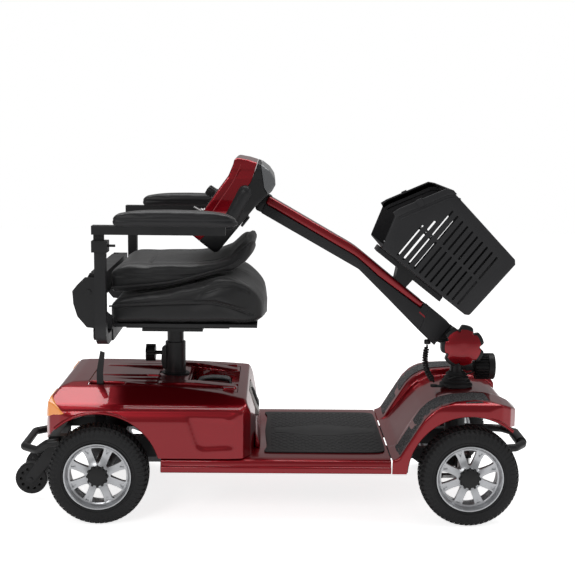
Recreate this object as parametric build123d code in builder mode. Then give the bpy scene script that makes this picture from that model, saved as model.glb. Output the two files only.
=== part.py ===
"""Folding four-wheel mobility scooter, in the pose it is stored in: tiller down, backrest forward.

Millimetres. +X is forward, +Y is the rider's left and +Z is up. The origin is on the floor,
under the middle of the scooter's overall length. Each sub-part is written to parts/.
"""

import os
from math import hypot, pi, radians, tan

from build123d import *

os.makedirs("parts", exist_ok=True)

# ---------------------------------------------------------------- driving dimensions
TYRE_R = 120.0                # outer radius of the four tyres
TYRE_W = 74.0                 # tyre section width
RIM_R = 79.5                  # radius where the tyre sits on the rim
WHEEL_Y = 228.0               # middle of each tyre, from the centre plane
AXLE_Z = TYRE_R               # axle height: the tyres stand on the floor
REAR_X = -416.0               # rear axle
FRONT_X = 470.0               # front axle
SHAFT_R = 8.5                 # rear shafts and front stub axles
CASTER_R = 40.0               # anti-tip wheels
CASTER_W = 24.0
CASTER_X = -612.0
CASTER_Z = 54.0
CASTER_Y = 62.0

BODY_HALF = 250.0             # half width of the painted mouldings
WALL = 4.0                    # wall of the painted mouldings
ARCH_R = 152.0                # wheel arch radius, about the axle
DECK_TOP = 161.0              # top of the painted deck tray
SILL_BOTTOM = 127.0
DECK_REAR = -268.0
DECK_FRONT = 283.0
MAT_T = 5.0                   # rubber mat, above the tray

RAIL = 26.0                   # square tube of the main frame
RAIL_Y = 95.0
RAIL_Z = 137.0                # middle height of the rails
KICK_Z = RAIL_Z + RAIL / 2    # the rails step up by their own height over the rear axle
KICK_X = (-345.0, -295.0)     # overlap of the low and the raised rails

POST_X = -251.0               # seat post axis
POST_R = 21.0                 # sliding seat post
SLEEVE_R = 26.0               # outside of the fixed seat tube
SLEEVE_TOP = 398.0
SEAT_BASE_Z = 440.0           # underside of the seat's swivel plate
PAN_Z = 470.0                 # underside of the seat pan
SEAT_HALF = 218.0             # half width of the seat cushion
HINGE_X = -435.0              # backrest hinge bolt
HINGE_Z = 558.0
SOCKET_X = -395.0             # cross tube that holds the armrests
SOCKET_Z = 455.0
ARM_TUBE = 25.0               # square tube of the armrest posts
ARM_Y = 308.0                 # armrest post, from the centre plane
ARM_PIVOT_X = -398.0
ARM_PIVOT_Z = 712.0
PAD_FRONT = -84.0
PAD_REAR = -364.0
PAD_TOP = 758.0

STEER_X = 472.0               # steering axis
KINGPIN_Y = 165.0
STEER_ARM = 60.0              # pitman arm and both knuckle arms
PIVOT_Z = 405.0               # tiller pivot, on the steering axis
COLUMN_R = 17.0
KNOB_R = 54.0
LAMP_R = 34.0
LAMP_X = 516.0
LAMP_LEN = 53.0
LAMP_Z = 339.0
TILLER_HALF = 32.0            # half width of the tiller
HEAD_HALF = 150.0             # half width of the tiller head

RUN = 0.05                    # radial clearance of a pin or shaft in its bore
GAP = 1.0                     # plain gap between separate pieces
SIDES = (("left", 1), ("right", -1))


# ---------------------------------------------------------------- shared shapes
def side_plane(y=0.0):
    """The side view, seen from the scooter's right: x forward, y up."""
    return Plane.XZ.offset(-y)


def prism(outline, half_width, y=0.0, radius=0.0):
    """A closed side-view outline, made solid half_width to each side of y."""
    with BuildPart() as body:
        with BuildSketch(side_plane(y)) as face:
            with BuildLine():
                Polyline(*outline, close=True)
            make_face()
            if radius:
                fillet(face.vertices(), radius)
        extrude(amount=half_width, both=True)
    return body.part


def block(x, y, z):
    """A plain box between three pairs of limits."""
    with BuildPart() as body:
        with Locations(((x[0] + x[1]) / 2, (y[0] + y[1]) / 2, (z[0] + z[1]) / 2)):
            Box(x[1] - x[0], y[1] - y[0], z[1] - z[0])
    return body.part


def rod(start, end, radius):
    """A round bar between two points."""
    along = Vector(*end) - Vector(*start)
    with BuildPart() as body:
        with BuildSketch(Plane(origin=start, z_dir=along.normalized())):
            Circle(radius)
        extrude(amount=along.length)
    return body.part


def shrunk(outline, inset):
    """The same outline with every edge moved inwards by inset."""
    area = sum(a[0] * b[1] - b[0] * a[1] for a, b in zip(outline, outline[1:] + outline[:1]))
    turn = 1 if area > 0 else -1
    edges = []
    for (ax, ay), (bx, by) in zip(outline, outline[1:] + outline[:1]):
        run = hypot(bx - ax, by - ay)
        nx, ny = -turn * (by - ay) / run, turn * (bx - ax) / run
        edges.append((nx, ny, nx * ax + ny * ay + inset))
    corners = []
    for (ax, ay, ad), (bx, by, bd) in zip(edges[-1:] + edges[:-1], edges):
        cross = ax * by - ay * bx
        corners.append(((ad * by - ay * bd) / cross, (ax * bd - ad * bx) / cross))
    return corners


def moulding(side, plan, front, inset):
    """The space that a side view, a plan and an end view share, all shrunk by inset."""
    views = ((Plane.XZ, side, Mode.ADD), (Plane.XY, plan, Mode.INTERSECT),
             (Plane.YZ, front, Mode.INTERSECT))
    with BuildPart() as body:
        for plane, outline, mode in views:
            with BuildSketch(plane):
                with BuildLine():
                    Polyline(*shrunk(list(outline), inset), close=True)
                make_face()
            extrude(amount=1000, both=True, mode=mode)
    return body.part


def save(part, name):
    """Label one finished sub-part and write it."""
    part.label = name
    export_step(part, f"parts/{name}.step")


def mirrored(outline):
    """Both halves of an end view or plan, from the points with y of 0 or more."""
    return list(outline) + [(-y, z) for y, z in reversed(outline) if y > 0]


# ---------------------------------------------------------------- wheels
def wheel_plane(x, side):
    """Section plane of one wheel: x outwards along the axle, y up from the axle."""
    return Plane(origin=(x, side * WHEEL_Y, AXLE_Z), x_dir=(0, side, 0), z_dir=(side, 0, 0))


def make_tyre(x, side):
    with BuildPart() as tyre:
        with BuildSketch(wheel_plane(x, side)) as section:
            with Locations((0, (RIM_R + TYRE_R) / 2)):
                Rectangle(TYRE_W, TYRE_R - RIM_R)
            fillet(section.vertices().group_by(Axis.Y)[-1], 17)
            chamfer(section.vertices().group_by(Axis.Y)[0], 5)
        revolve(axis=Axis((x, 0, AXLE_Z), (0, 1, 0)))
    return tyre.part


def make_rim(x, side):
    """Cast rim: barrel, spoked face, hub with a blind bore, and a hub cap."""
    half = TYRE_W / 2 - 5
    hub_r, cap_r, barrel_t, face_t = 24.0, 26.0, 6.0, 9.0
    face_out = half - 8
    windows, window_in, window_out = 8, 33.0, 68.0
    bore_end = half - 7
    plane = wheel_plane(x, side)
    with BuildPart() as rim:
        with BuildSketch(plane):
            with BuildLine():
                Polyline((-half, RIM_R), (half, RIM_R), (half, RIM_R - barrel_t + 2),
                         (half - 4, RIM_R - barrel_t), (face_out, RIM_R - barrel_t),
                         (face_out + 3, hub_r), (half - 1, cap_r), (half - 1, 0),
                         (bore_end, 0), (bore_end, SHAFT_R + RUN), (-half + 4, SHAFT_R + RUN),
                         (-half + 4, hub_r - 4), (face_out - face_t, hub_r),
                         (face_out - face_t, RIM_R - barrel_t), (-half, RIM_R - barrel_t),
                         close=True)
            make_face()
        revolve(axis=Axis((x, 0, AXLE_Z), (0, 1, 0)))
        with BuildSketch(Plane(origin=(x, side * WHEEL_Y, AXLE_Z), x_dir=(1, 0, 0),
                               z_dir=(0, side, 0))) as holes:
            with PolarLocations((window_in + window_out) / 2, windows):
                Trapezoid(38, window_out - window_in, 76, rotation=90)
            fillet(holes.vertices(), 6)
        extrude(amount=TYRE_W / 2, mode=Mode.SUBTRACT)
    return rim.part


for name, side in SIDES:
    save(make_tyre(REAR_X, side), f"rear_tyre_{name}")
    save(make_rim(REAR_X, side), f"rear_rim_{name}")
    save(make_tyre(FRONT_X, side), f"front_tyre_{name}")
    save(make_rim(FRONT_X, side), f"front_rim_{name}")

CASTER_PIN_R = 5.0
for name, side in SIDES:
    with BuildPart() as caster:
        with BuildSketch(side_plane(side * CASTER_Y)):
            Circle(CASTER_R)
            with PolarLocations(25, 10):
                Circle(4, mode=Mode.SUBTRACT)
            Circle(CASTER_PIN_R + RUN, mode=Mode.SUBTRACT)
        extrude(amount=CASTER_W / 2, both=True)
        rims = caster.edges().filter_by(GeomType.CIRCLE).filter_by(lambda e: e.radius > 30)
        chamfer(rims, 2.5)
    wheel = Pos(CASTER_X, 0, CASTER_Z) * caster.part
    save(wheel, f"antitip_wheel_{name}")

# ---------------------------------------------------------------- chassis
FRAME_REAR = -560.0
HEAD_TUBE_R = 26.0
HEAD_TUBE = (100.0, 212.0)
BEAM_X = FRONT_X
EAR_T = 6.0
EAR_Z = 27.0                  # ears stand this far above and below the front axle
KINGPIN_R = 7.0

frame_parts = []
for side in (1, -1):
    y = side * RAIL_Y
    frame_parts.append(block((KICK_X[0], BEAM_X - 60), (y - RAIL / 2, y + RAIL / 2),
                             (RAIL_Z - RAIL / 2, KICK_Z)))
    frame_parts.append(block((FRAME_REAR, KICK_X[1]), (y - RAIL / 2, y + RAIL / 2),
                             (KICK_Z, KICK_Z + RAIL)))
    # each rail drops to the front beam
    frame_parts.append(block((BEAM_X - 75, BEAM_X + 12), (y - RAIL / 2, y + RAIL / 2),
                             (AXLE_Z - 12, RAIL_Z + RAIL / 2)))
    ear_inner = KINGPIN_Y - 22
    for up in (1, -1):
        z = AXLE_Z + up * EAR_Z
        frame_parts.append(block((BEAM_X - 16, BEAM_X + 16),
                                 sorted((side * (ear_inner - 8), side * (KINGPIN_Y + 14))),
                                 sorted((z, z + up * EAR_T))))
    frame_parts.append(block((BEAM_X - 16, BEAM_X + 16),
                             sorted((side * (ear_inner - 8), side * ear_inner)),
                             (AXLE_Z - EAR_Z, AXLE_Z + EAR_Z)))
frame_parts.append(block((FRAME_REAR, FRAME_REAR + RAIL), (-RAIL_Y, RAIL_Y),
                         (KICK_Z, KICK_Z + RAIL)))
for x in (POST_X, -40.0, 260.0):
    frame_parts.append(block((x - RAIL / 2, x + RAIL / 2), (-RAIL_Y, RAIL_Y),
                             (RAIL_Z - RAIL / 2, KICK_Z)))
frame_parts.append(block((BEAM_X - 12, BEAM_X + 12), (-KINGPIN_Y + 28, KINGPIN_Y - 28),
                         (AXLE_Z - 12, AXLE_Z + 12)))

with BuildPart() as main_frame:
    add(frame_parts)
    with BuildSketch(Plane.XY.offset(HEAD_TUBE[0])):
        with Locations((STEER_X, 0)):
            Circle(HEAD_TUBE_R)
    extrude(amount=HEAD_TUBE[1] - HEAD_TUBE[0])
    with BuildSketch(Plane.XY.offset(HEAD_TUBE[0])):
        with Locations((STEER_X, 0)):
            Circle(COLUMN_R + RUN)
    extrude(amount=HEAD_TUBE[1] - HEAD_TUBE[0], mode=Mode.SUBTRACT)
    for side in (1, -1):
        with BuildSketch(Plane.XY.offset(AXLE_Z - EAR_Z - EAR_T)):
            with Locations((FRONT_X, side * KINGPIN_Y)):
                Circle(KINGPIN_R + RUN)
        extrude(amount=2 * (EAR_Z + EAR_T), mode=Mode.SUBTRACT)

# the fixed seat tube stands on the frame's cross member and carries the clamp nut
SEAT_TUBE_Z = RAIL_Z + RAIL / 2
STEM_R = 5.0
CLAMP_Z = 368.0
with BuildPart() as seat_tube:
    with BuildSketch(Plane.XY.offset(SEAT_TUBE_Z)):
        with Locations((POST_X, 0)):
            Circle(SLEEVE_R)
    extrude(amount=SLEEVE_TOP - SEAT_TUBE_Z)
    with BuildSketch(side_plane()):
        with BuildLine():
            Polyline((POST_X - 20, SLEEVE_TOP - 6), (POST_X - SLEEVE_R - 8, CLAMP_Z + 14),
                     (POST_X - SLEEVE_R - 10, CLAMP_Z - 20), (POST_X - SLEEVE_R - 6, 330),
                     (POST_X - 20, 322), close=True)
        make_face()
    extrude(amount=11, both=True)
    with BuildSketch(Plane.XY.offset(SEAT_TUBE_Z)):
        with Locations((POST_X, 0)):
            Circle(POST_R + RUN)
    extrude(amount=SLEEVE_TOP - SEAT_TUBE_Z, mode=Mode.SUBTRACT)
    with BuildSketch(Plane.YZ.offset(POST_X)):
        with Locations((0, CLAMP_Z)):
            Circle(STEM_R + RUN)
    extrude(amount=-60, mode=Mode.SUBTRACT)

# bracket of the neutral lever, on the right raised rail
LEVER_X, LEVER_Y, LEVER_Z = -424.0, -140.0, 262.0
LEVER_PIN_R = 5.0
with BuildPart() as lever_bracket:
    add(block((LEVER_X - 14, LEVER_X + 14), (LEVER_Y + 4, LEVER_Y + 8), (KICK_Z + RAIL, 276)))
    add(block((LEVER_X - 14, LEVER_X + 14), (LEVER_Y + 4, -RAIL_Y + 10),
              (KICK_Z + RAIL, KICK_Z + RAIL + 4)))
    add(rod((LEVER_X, LEVER_Y + 8, LEVER_Z), (LEVER_X, LEVER_Y - 6, LEVER_Z), LEVER_PIN_R))

with BuildPart() as welded_frame:
    add([main_frame.part, seat_tube.part, lever_bracket.part])
save(welded_frame.part, "main_frame")

# motor and gearbox, with one output shaft to each rear wheel
TRANSAXLE_R = 46.0
with BuildPart() as transaxle:
    with BuildSketch(side_plane()):
        with Locations((REAR_X, AXLE_Z)):
            Circle(TRANSAXLE_R)
    extrude(amount=38, both=True)
    with BuildSketch(side_plane()):
        with Locations((REAR_X, AXLE_Z)):
            Circle(22)
    extrude(amount=WHEEL_Y - TYRE_W / 2 - 12, both=True)
    with BuildSketch(side_plane()):
        with Locations((REAR_X, AXLE_Z)):
            Circle(SHAFT_R)
    extrude(amount=WHEEL_Y + TYRE_W / 2 - 14, both=True)
    with BuildSketch(Plane.XY.offset(AXLE_Z + 14)):
        with Locations((REAR_X, 0)):
            Rectangle(60, 2 * (RAIL_Y + RAIL / 2))
    extrude(amount=KICK_Z - AXLE_Z - 14)
motor = rod((REAR_X + 40, -35, AXLE_Z), (REAR_X + 130, -35, AXLE_Z), 30)
with BuildPart() as transaxle_motor:
    add(transaxle.part)
    add(motor)
save(transaxle_motor.part, "transaxle")

# ---------------------------------------------------------------- rear mouldings
REAR_TIP_X = -546.0
REAR_TIP_Z = 184.0
REAR_TOP = 323.0
REAR_SIDE = ((REAR_TIP_X, 60), (REAR_TIP_X, 235), (-536, 298), (-518, 321), (-447, REAR_TOP),
             (-198, 312), (-130, 306), (-62, 296), (-44, 240), (-40, 60))
REAR_PLAN = ((REAR_TIP_X - 40, -150), (REAR_TIP_X, -190), (-520, -232), (-480, -BODY_HALF),
             (-66, -BODY_HALF), (-58, -215), (-42, -95), (-42, 95), (-58, 215),
             (-66, BODY_HALF), (-480, BODY_HALF), (-520, 232), (REAR_TIP_X, 190),
             (REAR_TIP_X - 40, 150))
SHOULDER = ((BODY_HALF, 50), (BODY_HALF, 262), (BODY_HALF - 6, 278), (BODY_HALF - 22, 290),
            (160, 316), (120, REAR_TOP + 3))
REAR_END = mirrored(SHOULDER)

COVER_X = (-452.0, -88.0)
COVER_HALF = 150.0
HANDLE_RECESS = (-214.0, -106.0)
HANDLE_HALF = 100.0

rear_outer = moulding(REAR_SIDE, REAR_PLAN, REAR_END, 0)
rear_inner = moulding(REAR_SIDE, REAR_PLAN, REAR_END, WALL)
rear_skin = rear_outer - rear_inner
rear_arch = rod((REAR_X, -400, AXLE_Z), (REAR_X, 400, AXLE_Z), ARCH_R)
rear_below = [block((-700, REAR_X), (-400, 400), (0, REAR_TIP_Z)),
              block((REAR_X, 100), (-400, 400), (0, DECK_TOP + GAP)), rear_arch]
cover_space = block((COVER_X[0] - GAP, COVER_X[1] + GAP), (-COVER_HALF - GAP, COVER_HALF + GAP),
                    (285, 400))
port_space = block((-70, 0), (-70, 70), (215, 285))

with BuildPart() as rear_shroud:
    add(rear_skin)
    add(rear_below, mode=Mode.SUBTRACT)
    add([cover_space, port_space], mode=Mode.SUBTRACT)
save(rear_shroud.part, "rear_shroud")

with BuildPart() as rear_cover:
    add(rear_skin)
    add(block(COVER_X, (-COVER_HALF, COVER_HALF), (285, 400)), mode=Mode.INTERSECT)
    # raised ribs along the rear half of the lid
    for y in (-125, -100, -75, 75, 100, 125):
        add(block((COVER_X[0] + 18, POST_X - 50), (y - 5, y + 5), (312, REAR_TOP + 3)))
    with BuildSketch(Plane.XY.offset(250)):
        with Locations((POST_X, 0)):
            Circle(SLEEVE_R + 5)
        with Locations((POST_X - SLEEVE_R, 0)):
            Rectangle(40, 30)
        with Locations((sum(HANDLE_RECESS) / 2, 0)):
            Rectangle(HANDLE_RECESS[1] - HANDLE_RECESS[0], 2 * HANDLE_HALF)
    extrude(amount=100, mode=Mode.SUBTRACT)
LEVER_SLOT = block((LEVER_X - 22, LEVER_X + 60), (LEVER_Y - 6, LEVER_Y + 6), (250, 400))
with BuildPart() as rear_lid:
    add(rear_cover.part)
    add(LEVER_SLOT, mode=Mode.SUBTRACT)
save(rear_lid.part, "rear_cover")

# charging socket in the front face of the rear moulding: pale bezel and a swinging flap's seat
with BuildPart() as charger_port:
    add(moulding(REAR_SIDE, REAR_PLAN, REAR_END, 0))
    add(moulding(REAR_SIDE, REAR_PLAN, REAR_END, WALL), mode=Mode.SUBTRACT)
    add(block((-70, 0), (-70 + GAP, 70 - GAP), (215 + GAP, 285 - GAP)), mode=Mode.INTERSECT)
    add(rod((-56, 0, 250), (-33, 0, 250), 16))
save(charger_port.part, "charger_port")

# battery: a case that lifts straight out by its strap handle
BATTERY = (HANDLE_RECESS[0] + 4, HANDLE_RECESS[1] - 4)
BATTERY_HALF = RAIL_Y - 8
BATTERY_TOP = 282.0
with BuildPart() as battery_case:
    add(block(BATTERY, (-BATTERY_HALF, BATTERY_HALF), (KICK_Z + GAP, BATTERY_TOP)))
    fillet(battery_case.edges().filter_by(Axis.Z), 8)
with BuildPart() as battery_pack:
    add(battery_case.part)
    with BuildSketch(Plane.YZ.offset(sum(BATTERY) / 2)):
        with BuildLine():
            Polyline((-70, BATTERY_TOP), (-60, BATTERY_TOP + 22), (60, BATTERY_TOP + 22),
                     (70, BATTERY_TOP), (60, BATTERY_TOP), (52, BATTERY_TOP + 16),
                     (-52, BATTERY_TOP + 16), (-60, BATTERY_TOP), close=True)
        make_face()
    extrude(amount=14, both=True)
save(battery_pack.part, "battery_pack")

# amber lamps that wrap the two rear corners
with BuildPart() as tail_lights:
    add(moulding(REAR_SIDE, REAR_PLAN, REAR_END, -3))
    add(rear_outer, mode=Mode.SUBTRACT)
    add([block((-620, -488), sorted((side * 118, side * 240)), (262, 300)) for side in (1, -1)],
        mode=Mode.INTERSECT)
save(tail_lights.part, "tail_lights")

# neutral lever: releases the drive, at the right rear of the lid
with BuildPart() as lever:
    with BuildSketch(side_plane(LEVER_Y)) as outline:
        with BuildLine():
            Polyline((LEVER_X - 8, LEVER_Z - 9), (LEVER_X + 9, LEVER_Z - 9),
                     (LEVER_X + 7, 345), (LEVER_X + 12, 395), (LEVER_X + 1, 399),
                     (LEVER_X - 8, 350), close=True)
        make_face()
        with Locations((LEVER_X, LEVER_Z)):
            Circle(12)
            Circle(LEVER_PIN_R + RUN, mode=Mode.SUBTRACT)
    extrude(amount=3, both=True)
save(lever.part, "freewheel_lever")

# ---------------------------------------------------------------- deck
with BuildPart() as deck_shell:
    add(block((DECK_REAR, DECK_FRONT), (-BODY_HALF + 3, BODY_HALF - 3), (SILL_BOTTOM, DECK_TOP)))
    add(block((DECK_REAR + WALL, DECK_FRONT - WALL), (-BODY_HALF + 7, BODY_HALF - 7),
              (SILL_BOTTOM - 10, DECK_TOP - WALL)), mode=Mode.SUBTRACT)
    # two-step sill: a narrow shelf half way up each side
    for side in (1, -1):
        add(block((DECK_REAR, DECK_FRONT), sorted((side * (BODY_HALF - 3), side * BODY_HALF)),
                  (SILL_BOTTOM, SILL_BOTTOM + 15)))
    # the battery and the seat tube stand through the tray
    with BuildSketch(Plane.XY.offset(120)):
        with Locations((POST_X, 0)):
            Circle(SLEEVE_R + GAP)
        with Locations((sum(BATTERY) / 2, 0)):
            Rectangle(BATTERY[1] - BATTERY[0] + 2 * GAP, 2 * (BATTERY_HALF + GAP))
    extrude(amount=60, mode=Mode.SUBTRACT)
    add(block((DECK_REAR - 1, DECK_FRONT + 1), (-RAIL_Y - RAIL / 2 - GAP, RAIL_Y + RAIL / 2 + GAP),
              (120, RAIL_Z + RAIL / 2)), mode=Mode.SUBTRACT)
save(deck_shell.part, "deck_shell")

MAT_X = (-26.0, 276.0)
MAT_HALF = 193.0
with BuildPart() as deck_mat:
    add(block(MAT_X, (-MAT_HALF, MAT_HALF), (DECK_TOP, DECK_TOP + MAT_T)))
    fillet(deck_mat.edges().filter_by(Axis.Z), 12)
save(deck_mat.part, "deck_mat")

# ---------------------------------------------------------------- front mouldings
FOOT_X = DECK_FRONT + GAP
NOSE_X = 598.0
FENDER_SIDE = ((FOOT_X, 60), (FOOT_X, DECK_TOP), (300, DECK_TOP + 2), (344, 234), (376, 278),
               (412, 297), (482, 304), (531, 300), (566, 289), (589, 276), (NOSE_X, 262),
               (592, 60))
VALLEY = 17.0                 # the middle panel is this far below the fenders
CENTRE_SIDE = ((FOOT_X, 60), (FOOT_X, DECK_TOP), (306, DECK_TOP + 2), (354, 226), (388, 264),
               (422, 281), (482, 304 - VALLEY), (531, 285), (564, 276), (586, 262),
               (NOSE_X - 6, 250), (590, 60))
FENDER_Y = 138.0
FRONT_PLAN = ((0, -BODY_HALF), (530, -BODY_HALF), (560, -232), (586, -196), (NOSE_X, -120),
              (NOSE_X, 120), (586, 196), (560, 232), (530, BODY_HALF), (0, BODY_HALF))
FRONT_END = mirrored(((BODY_HALF, 50), (BODY_HALF, 288), (BODY_HALF - 8, 299),
                      (BODY_HALF - 22, 304), (BODY_HALF - 40, 310)))
FRONT_LIP_Z = 232.0
BOOT_R = 42.5
BOOT_Z = 288.0                # where the rubber boot sits on the middle panel


def front_space(inset):
    """The front moulding's outer shape, or the hollow inside it."""
    fenders = moulding(FENDER_SIDE, FRONT_PLAN, FRONT_END, inset)
    centre = moulding(CENTRE_SIDE, FRONT_PLAN, FRONT_END, inset)
    valley_half = FENDER_Y + inset
    fenders = fenders - block((0, 700), (-valley_half, valley_half), (0, 400))
    return fenders + centre


front_below = [block((FRONT_X, 800), (-400, 400), (0, FRONT_LIP_Z)),
               block((200, FRONT_X), (-FENDER_Y, FENDER_Y), (0, DECK_TOP - WALL)),
               block((200, FRONT_X), (-400, 400), (0, SILL_BOTTOM)),
               rod((FRONT_X, -400, AXLE_Z), (FRONT_X, 400, AXLE_Z), ARCH_R)]
with BuildPart() as front_shroud:
    add(front_space(0))
    add(front_space(WALL), mode=Mode.SUBTRACT)
    add(front_below, mode=Mode.SUBTRACT)
    with BuildSketch(Plane.XY.offset(200)):
        with Locations((STEER_X, 0)):
            Circle(30)
    extrude(amount=150, mode=Mode.SUBTRACT)
save(front_shroud.part, "front_shroud")

TAPE_T = 1.2
TAPE_Y = (163.0, 232.0)
with BuildPart() as grip_tape:
    add(moulding(FENDER_SIDE, FRONT_PLAN, FRONT_END, -TAPE_T))
    add(moulding(FENDER_SIDE, FRONT_PLAN, FRONT_END, 0), mode=Mode.SUBTRACT)
    add([block((302, 512), sorted((side * TAPE_Y[0], side * TAPE_Y[1])), (DECK_TOP + 2, 400))
         for side in (1, -1)], mode=Mode.INTERSECT)
save(grip_tape.part, "grip_tape")


# ---------------------------------------------------------------- bumpers and anti-tip arms
def bumper(points, radius, bend):
    """A bent round bar through the given points."""
    with BuildPart() as bar:
        with BuildLine() as path:
            FilletPolyline(*points, radius=bend)
        with BuildSketch(Plane(origin=path.line @ 0, z_dir=path.line % 0)):
            Circle(radius)
        sweep()
    return bar.part


BUMPER_R = 10.0
REAR_BUMPER_X = -628.0
FRONT_BUMPER_X = 638.0
with BuildPart() as rear_bumper:
    add(bumper(((FRAME_REAR + 30, -118.4, 163), (-560, -118.4, 160), (-588, -106, 138),
                (REAR_BUMPER_X, -72, 138), (REAR_BUMPER_X, 72, 138), (-588, 106, 138),
                (-560, 118.4, 160), (FRAME_REAR + 30, 118.4, 163)), BUMPER_R, 14))
save(rear_bumper.part, "rear_bumper")
with BuildPart() as front_bumper:
    add(bumper(((BEAM_X + 24, -100, 150), (578, -100, 149), (614, -92, 149),
                (FRONT_BUMPER_X, -60, 149), (FRONT_BUMPER_X, 60, 149), (614, 92, 149),
                (578, 100, 149), (BEAM_X + 24, 100, 150)), BUMPER_R, 12))
    # thicker rubber sleeve on the cross bar
    add(rod((FRONT_BUMPER_X, -44, 149), (FRONT_BUMPER_X, 44, 149), BUMPER_R + 4))
save(front_bumper.part, "front_bumper")

ARM_T = 5.0
with BuildPart() as antitip_arms:
    for side in (1, -1):
        for edge in (-1, 1):
            y = side * CASTER_Y + edge * (CASTER_W / 2 + GAP + ARM_T / 2)
            with BuildSketch(side_plane(y)):
                with BuildLine():
                    Polyline((CASTER_X - 11, CASTER_Z - 4), (CASTER_X + 3, CASTER_Z - 11),
                             (FRAME_REAR + 24, KICK_Z - 24), (FRAME_REAR + 24, KICK_Z),
                             (FRAME_REAR, KICK_Z), (CASTER_X - 11, CASTER_Z + 8), close=True)
                make_face()
            extrude(amount=ARM_T / 2, both=True)
        with BuildSketch(side_plane(side * CASTER_Y)):
            with Locations((CASTER_X, CASTER_Z)):
                Circle(CASTER_PIN_R)
        extrude(amount=CASTER_W / 2 + GAP + ARM_T + 3, both=True)
    with BuildSketch(side_plane()):
        with Locations((FRAME_REAR + 16, KICK_Z - 9)):
            Circle(7)
    extrude(amount=CASTER_Y + 30, both=True)
save(antitip_arms.part, "antitip_arms")

with BuildPart() as controller:
    add(block((60, 200), (-55, 55), (RAIL_Z - RAIL / 2 - 34, RAIL_Z - RAIL / 2 - 2)))
    add([block((60, 200), sorted((side * 50, side * (RAIL_Y + 6))),
               (RAIL_Z - RAIL / 2 - 5, RAIL_Z - RAIL / 2)) for side in (1, -1)])
save(controller.part, "controller")

# ---------------------------------------------------------------- steering
KNUCKLE_R = 15.0
ROD_Z = 82.0                  # height of the tie rod
STUD_R = 4.0
STUD_HOLE_R = 7.0             # wide holes: the studs swing while the rod runs straight
ARM_Z = (90.0, 97.0)

for name, side in SIDES:
    y = side * KINGPIN_Y
    stub_end = side * (WHEEL_Y + TYRE_W / 2 - 14)
    with BuildPart() as knuckle:
        add(rod((FRONT_X, y, AXLE_Z - EAR_Z + GAP), (FRONT_X, y, AXLE_Z + EAR_Z - GAP), KNUCKLE_R))
        add(rod((FRONT_X, y, AXLE_Z - EAR_Z - EAR_T - 3), (FRONT_X, y, AXLE_Z + EAR_Z + EAR_T + 3),
                KINGPIN_R))
        add(rod((FRONT_X, y, AXLE_Z), (FRONT_X, stub_end, AXLE_Z), SHAFT_R))
        with BuildSketch(Plane.XY.offset(ARM_Z[0] + 5)):
            with Locations((FRONT_X - STEER_ARM / 2 - 4, y)):
                Rectangle(STEER_ARM - 4, 18)
            with Locations((FRONT_X - STEER_ARM, y)):
                Circle(13)
                Circle(STUD_HOLE_R, mode=Mode.SUBTRACT)
        extrude(amount=ARM_Z[1] - ARM_Z[0])
    save(knuckle.part, f"knuckle_{name}")

with BuildPart() as tie_rod:
    add(rod((STEER_X - STEER_ARM, -KINGPIN_Y, ROD_Z), (STEER_X - STEER_ARM, KINGPIN_Y, ROD_Z), 5))
    for side in (1, -1):
        x = FRONT_X - STEER_ARM
        add(rod((x, side * KINGPIN_Y, ROD_Z - 6), (x, side * KINGPIN_Y, ARM_Z[1] + 3), STUD_R))
    add(rod((STEER_X - STEER_ARM, 0, ROD_Z), (STEER_X - STEER_ARM, 0, ARM_Z[0] + 6), STUD_R))
save(tie_rod.part, "tie_rod")

LAMP_PIN_X = LAMP_X - 14
LUG_HALF = 12.0
PIVOT_PIN_R = 8.0
FORK_IN = LUG_HALF + GAP
FORK_OUT = 24.0
with BuildPart() as steering_column:
    add(rod((STEER_X, 0, ARM_Z[0] + 6), (STEER_X, 0, PIVOT_Z - 30), COLUMN_R))
    # pitman arm under the head tube
    with BuildSketch(Plane.XY.offset(ARM_Z[0])):
        with Locations((STEER_X - STEER_ARM / 2, 0)):
            Rectangle(STEER_ARM, 22)
        with Locations((STEER_X, 0)):
            Circle(22)
        with Locations((STEER_X - STEER_ARM, 0)):
            Circle(13)
            Circle(STUD_HOLE_R, mode=Mode.SUBTRACT)
    extrude(amount=ARM_Z[1] - ARM_Z[0])
    # lug that the tiller's fork straddles
    with BuildSketch(side_plane()):
        with Locations((STEER_X, PIVOT_Z)):
            Circle(24)
        with Locations((STEER_X, PIVOT_Z - 25)):
            Rectangle(36, 50)
    extrude(amount=LUG_HALF, both=True)
    with BuildSketch(side_plane()):
        with Locations((STEER_X, PIVOT_Z)):
            Circle(PIVOT_PIN_R + RUN)
    extrude(amount=LUG_HALF, both=True, mode=Mode.SUBTRACT)
    # bracket for the headlamp, bored for its pivot screw
    add(block((STEER_X + 10, LAMP_X - 5), (-7, 7), (LAMP_Z - 9, LAMP_Z + 9)))
    add(rod((LAMP_PIN_X, -9, LAMP_Z), (LAMP_PIN_X, 9, LAMP_Z), 4 + RUN), mode=Mode.SUBTRACT)
save(steering_column.part, "steering_column")

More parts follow.
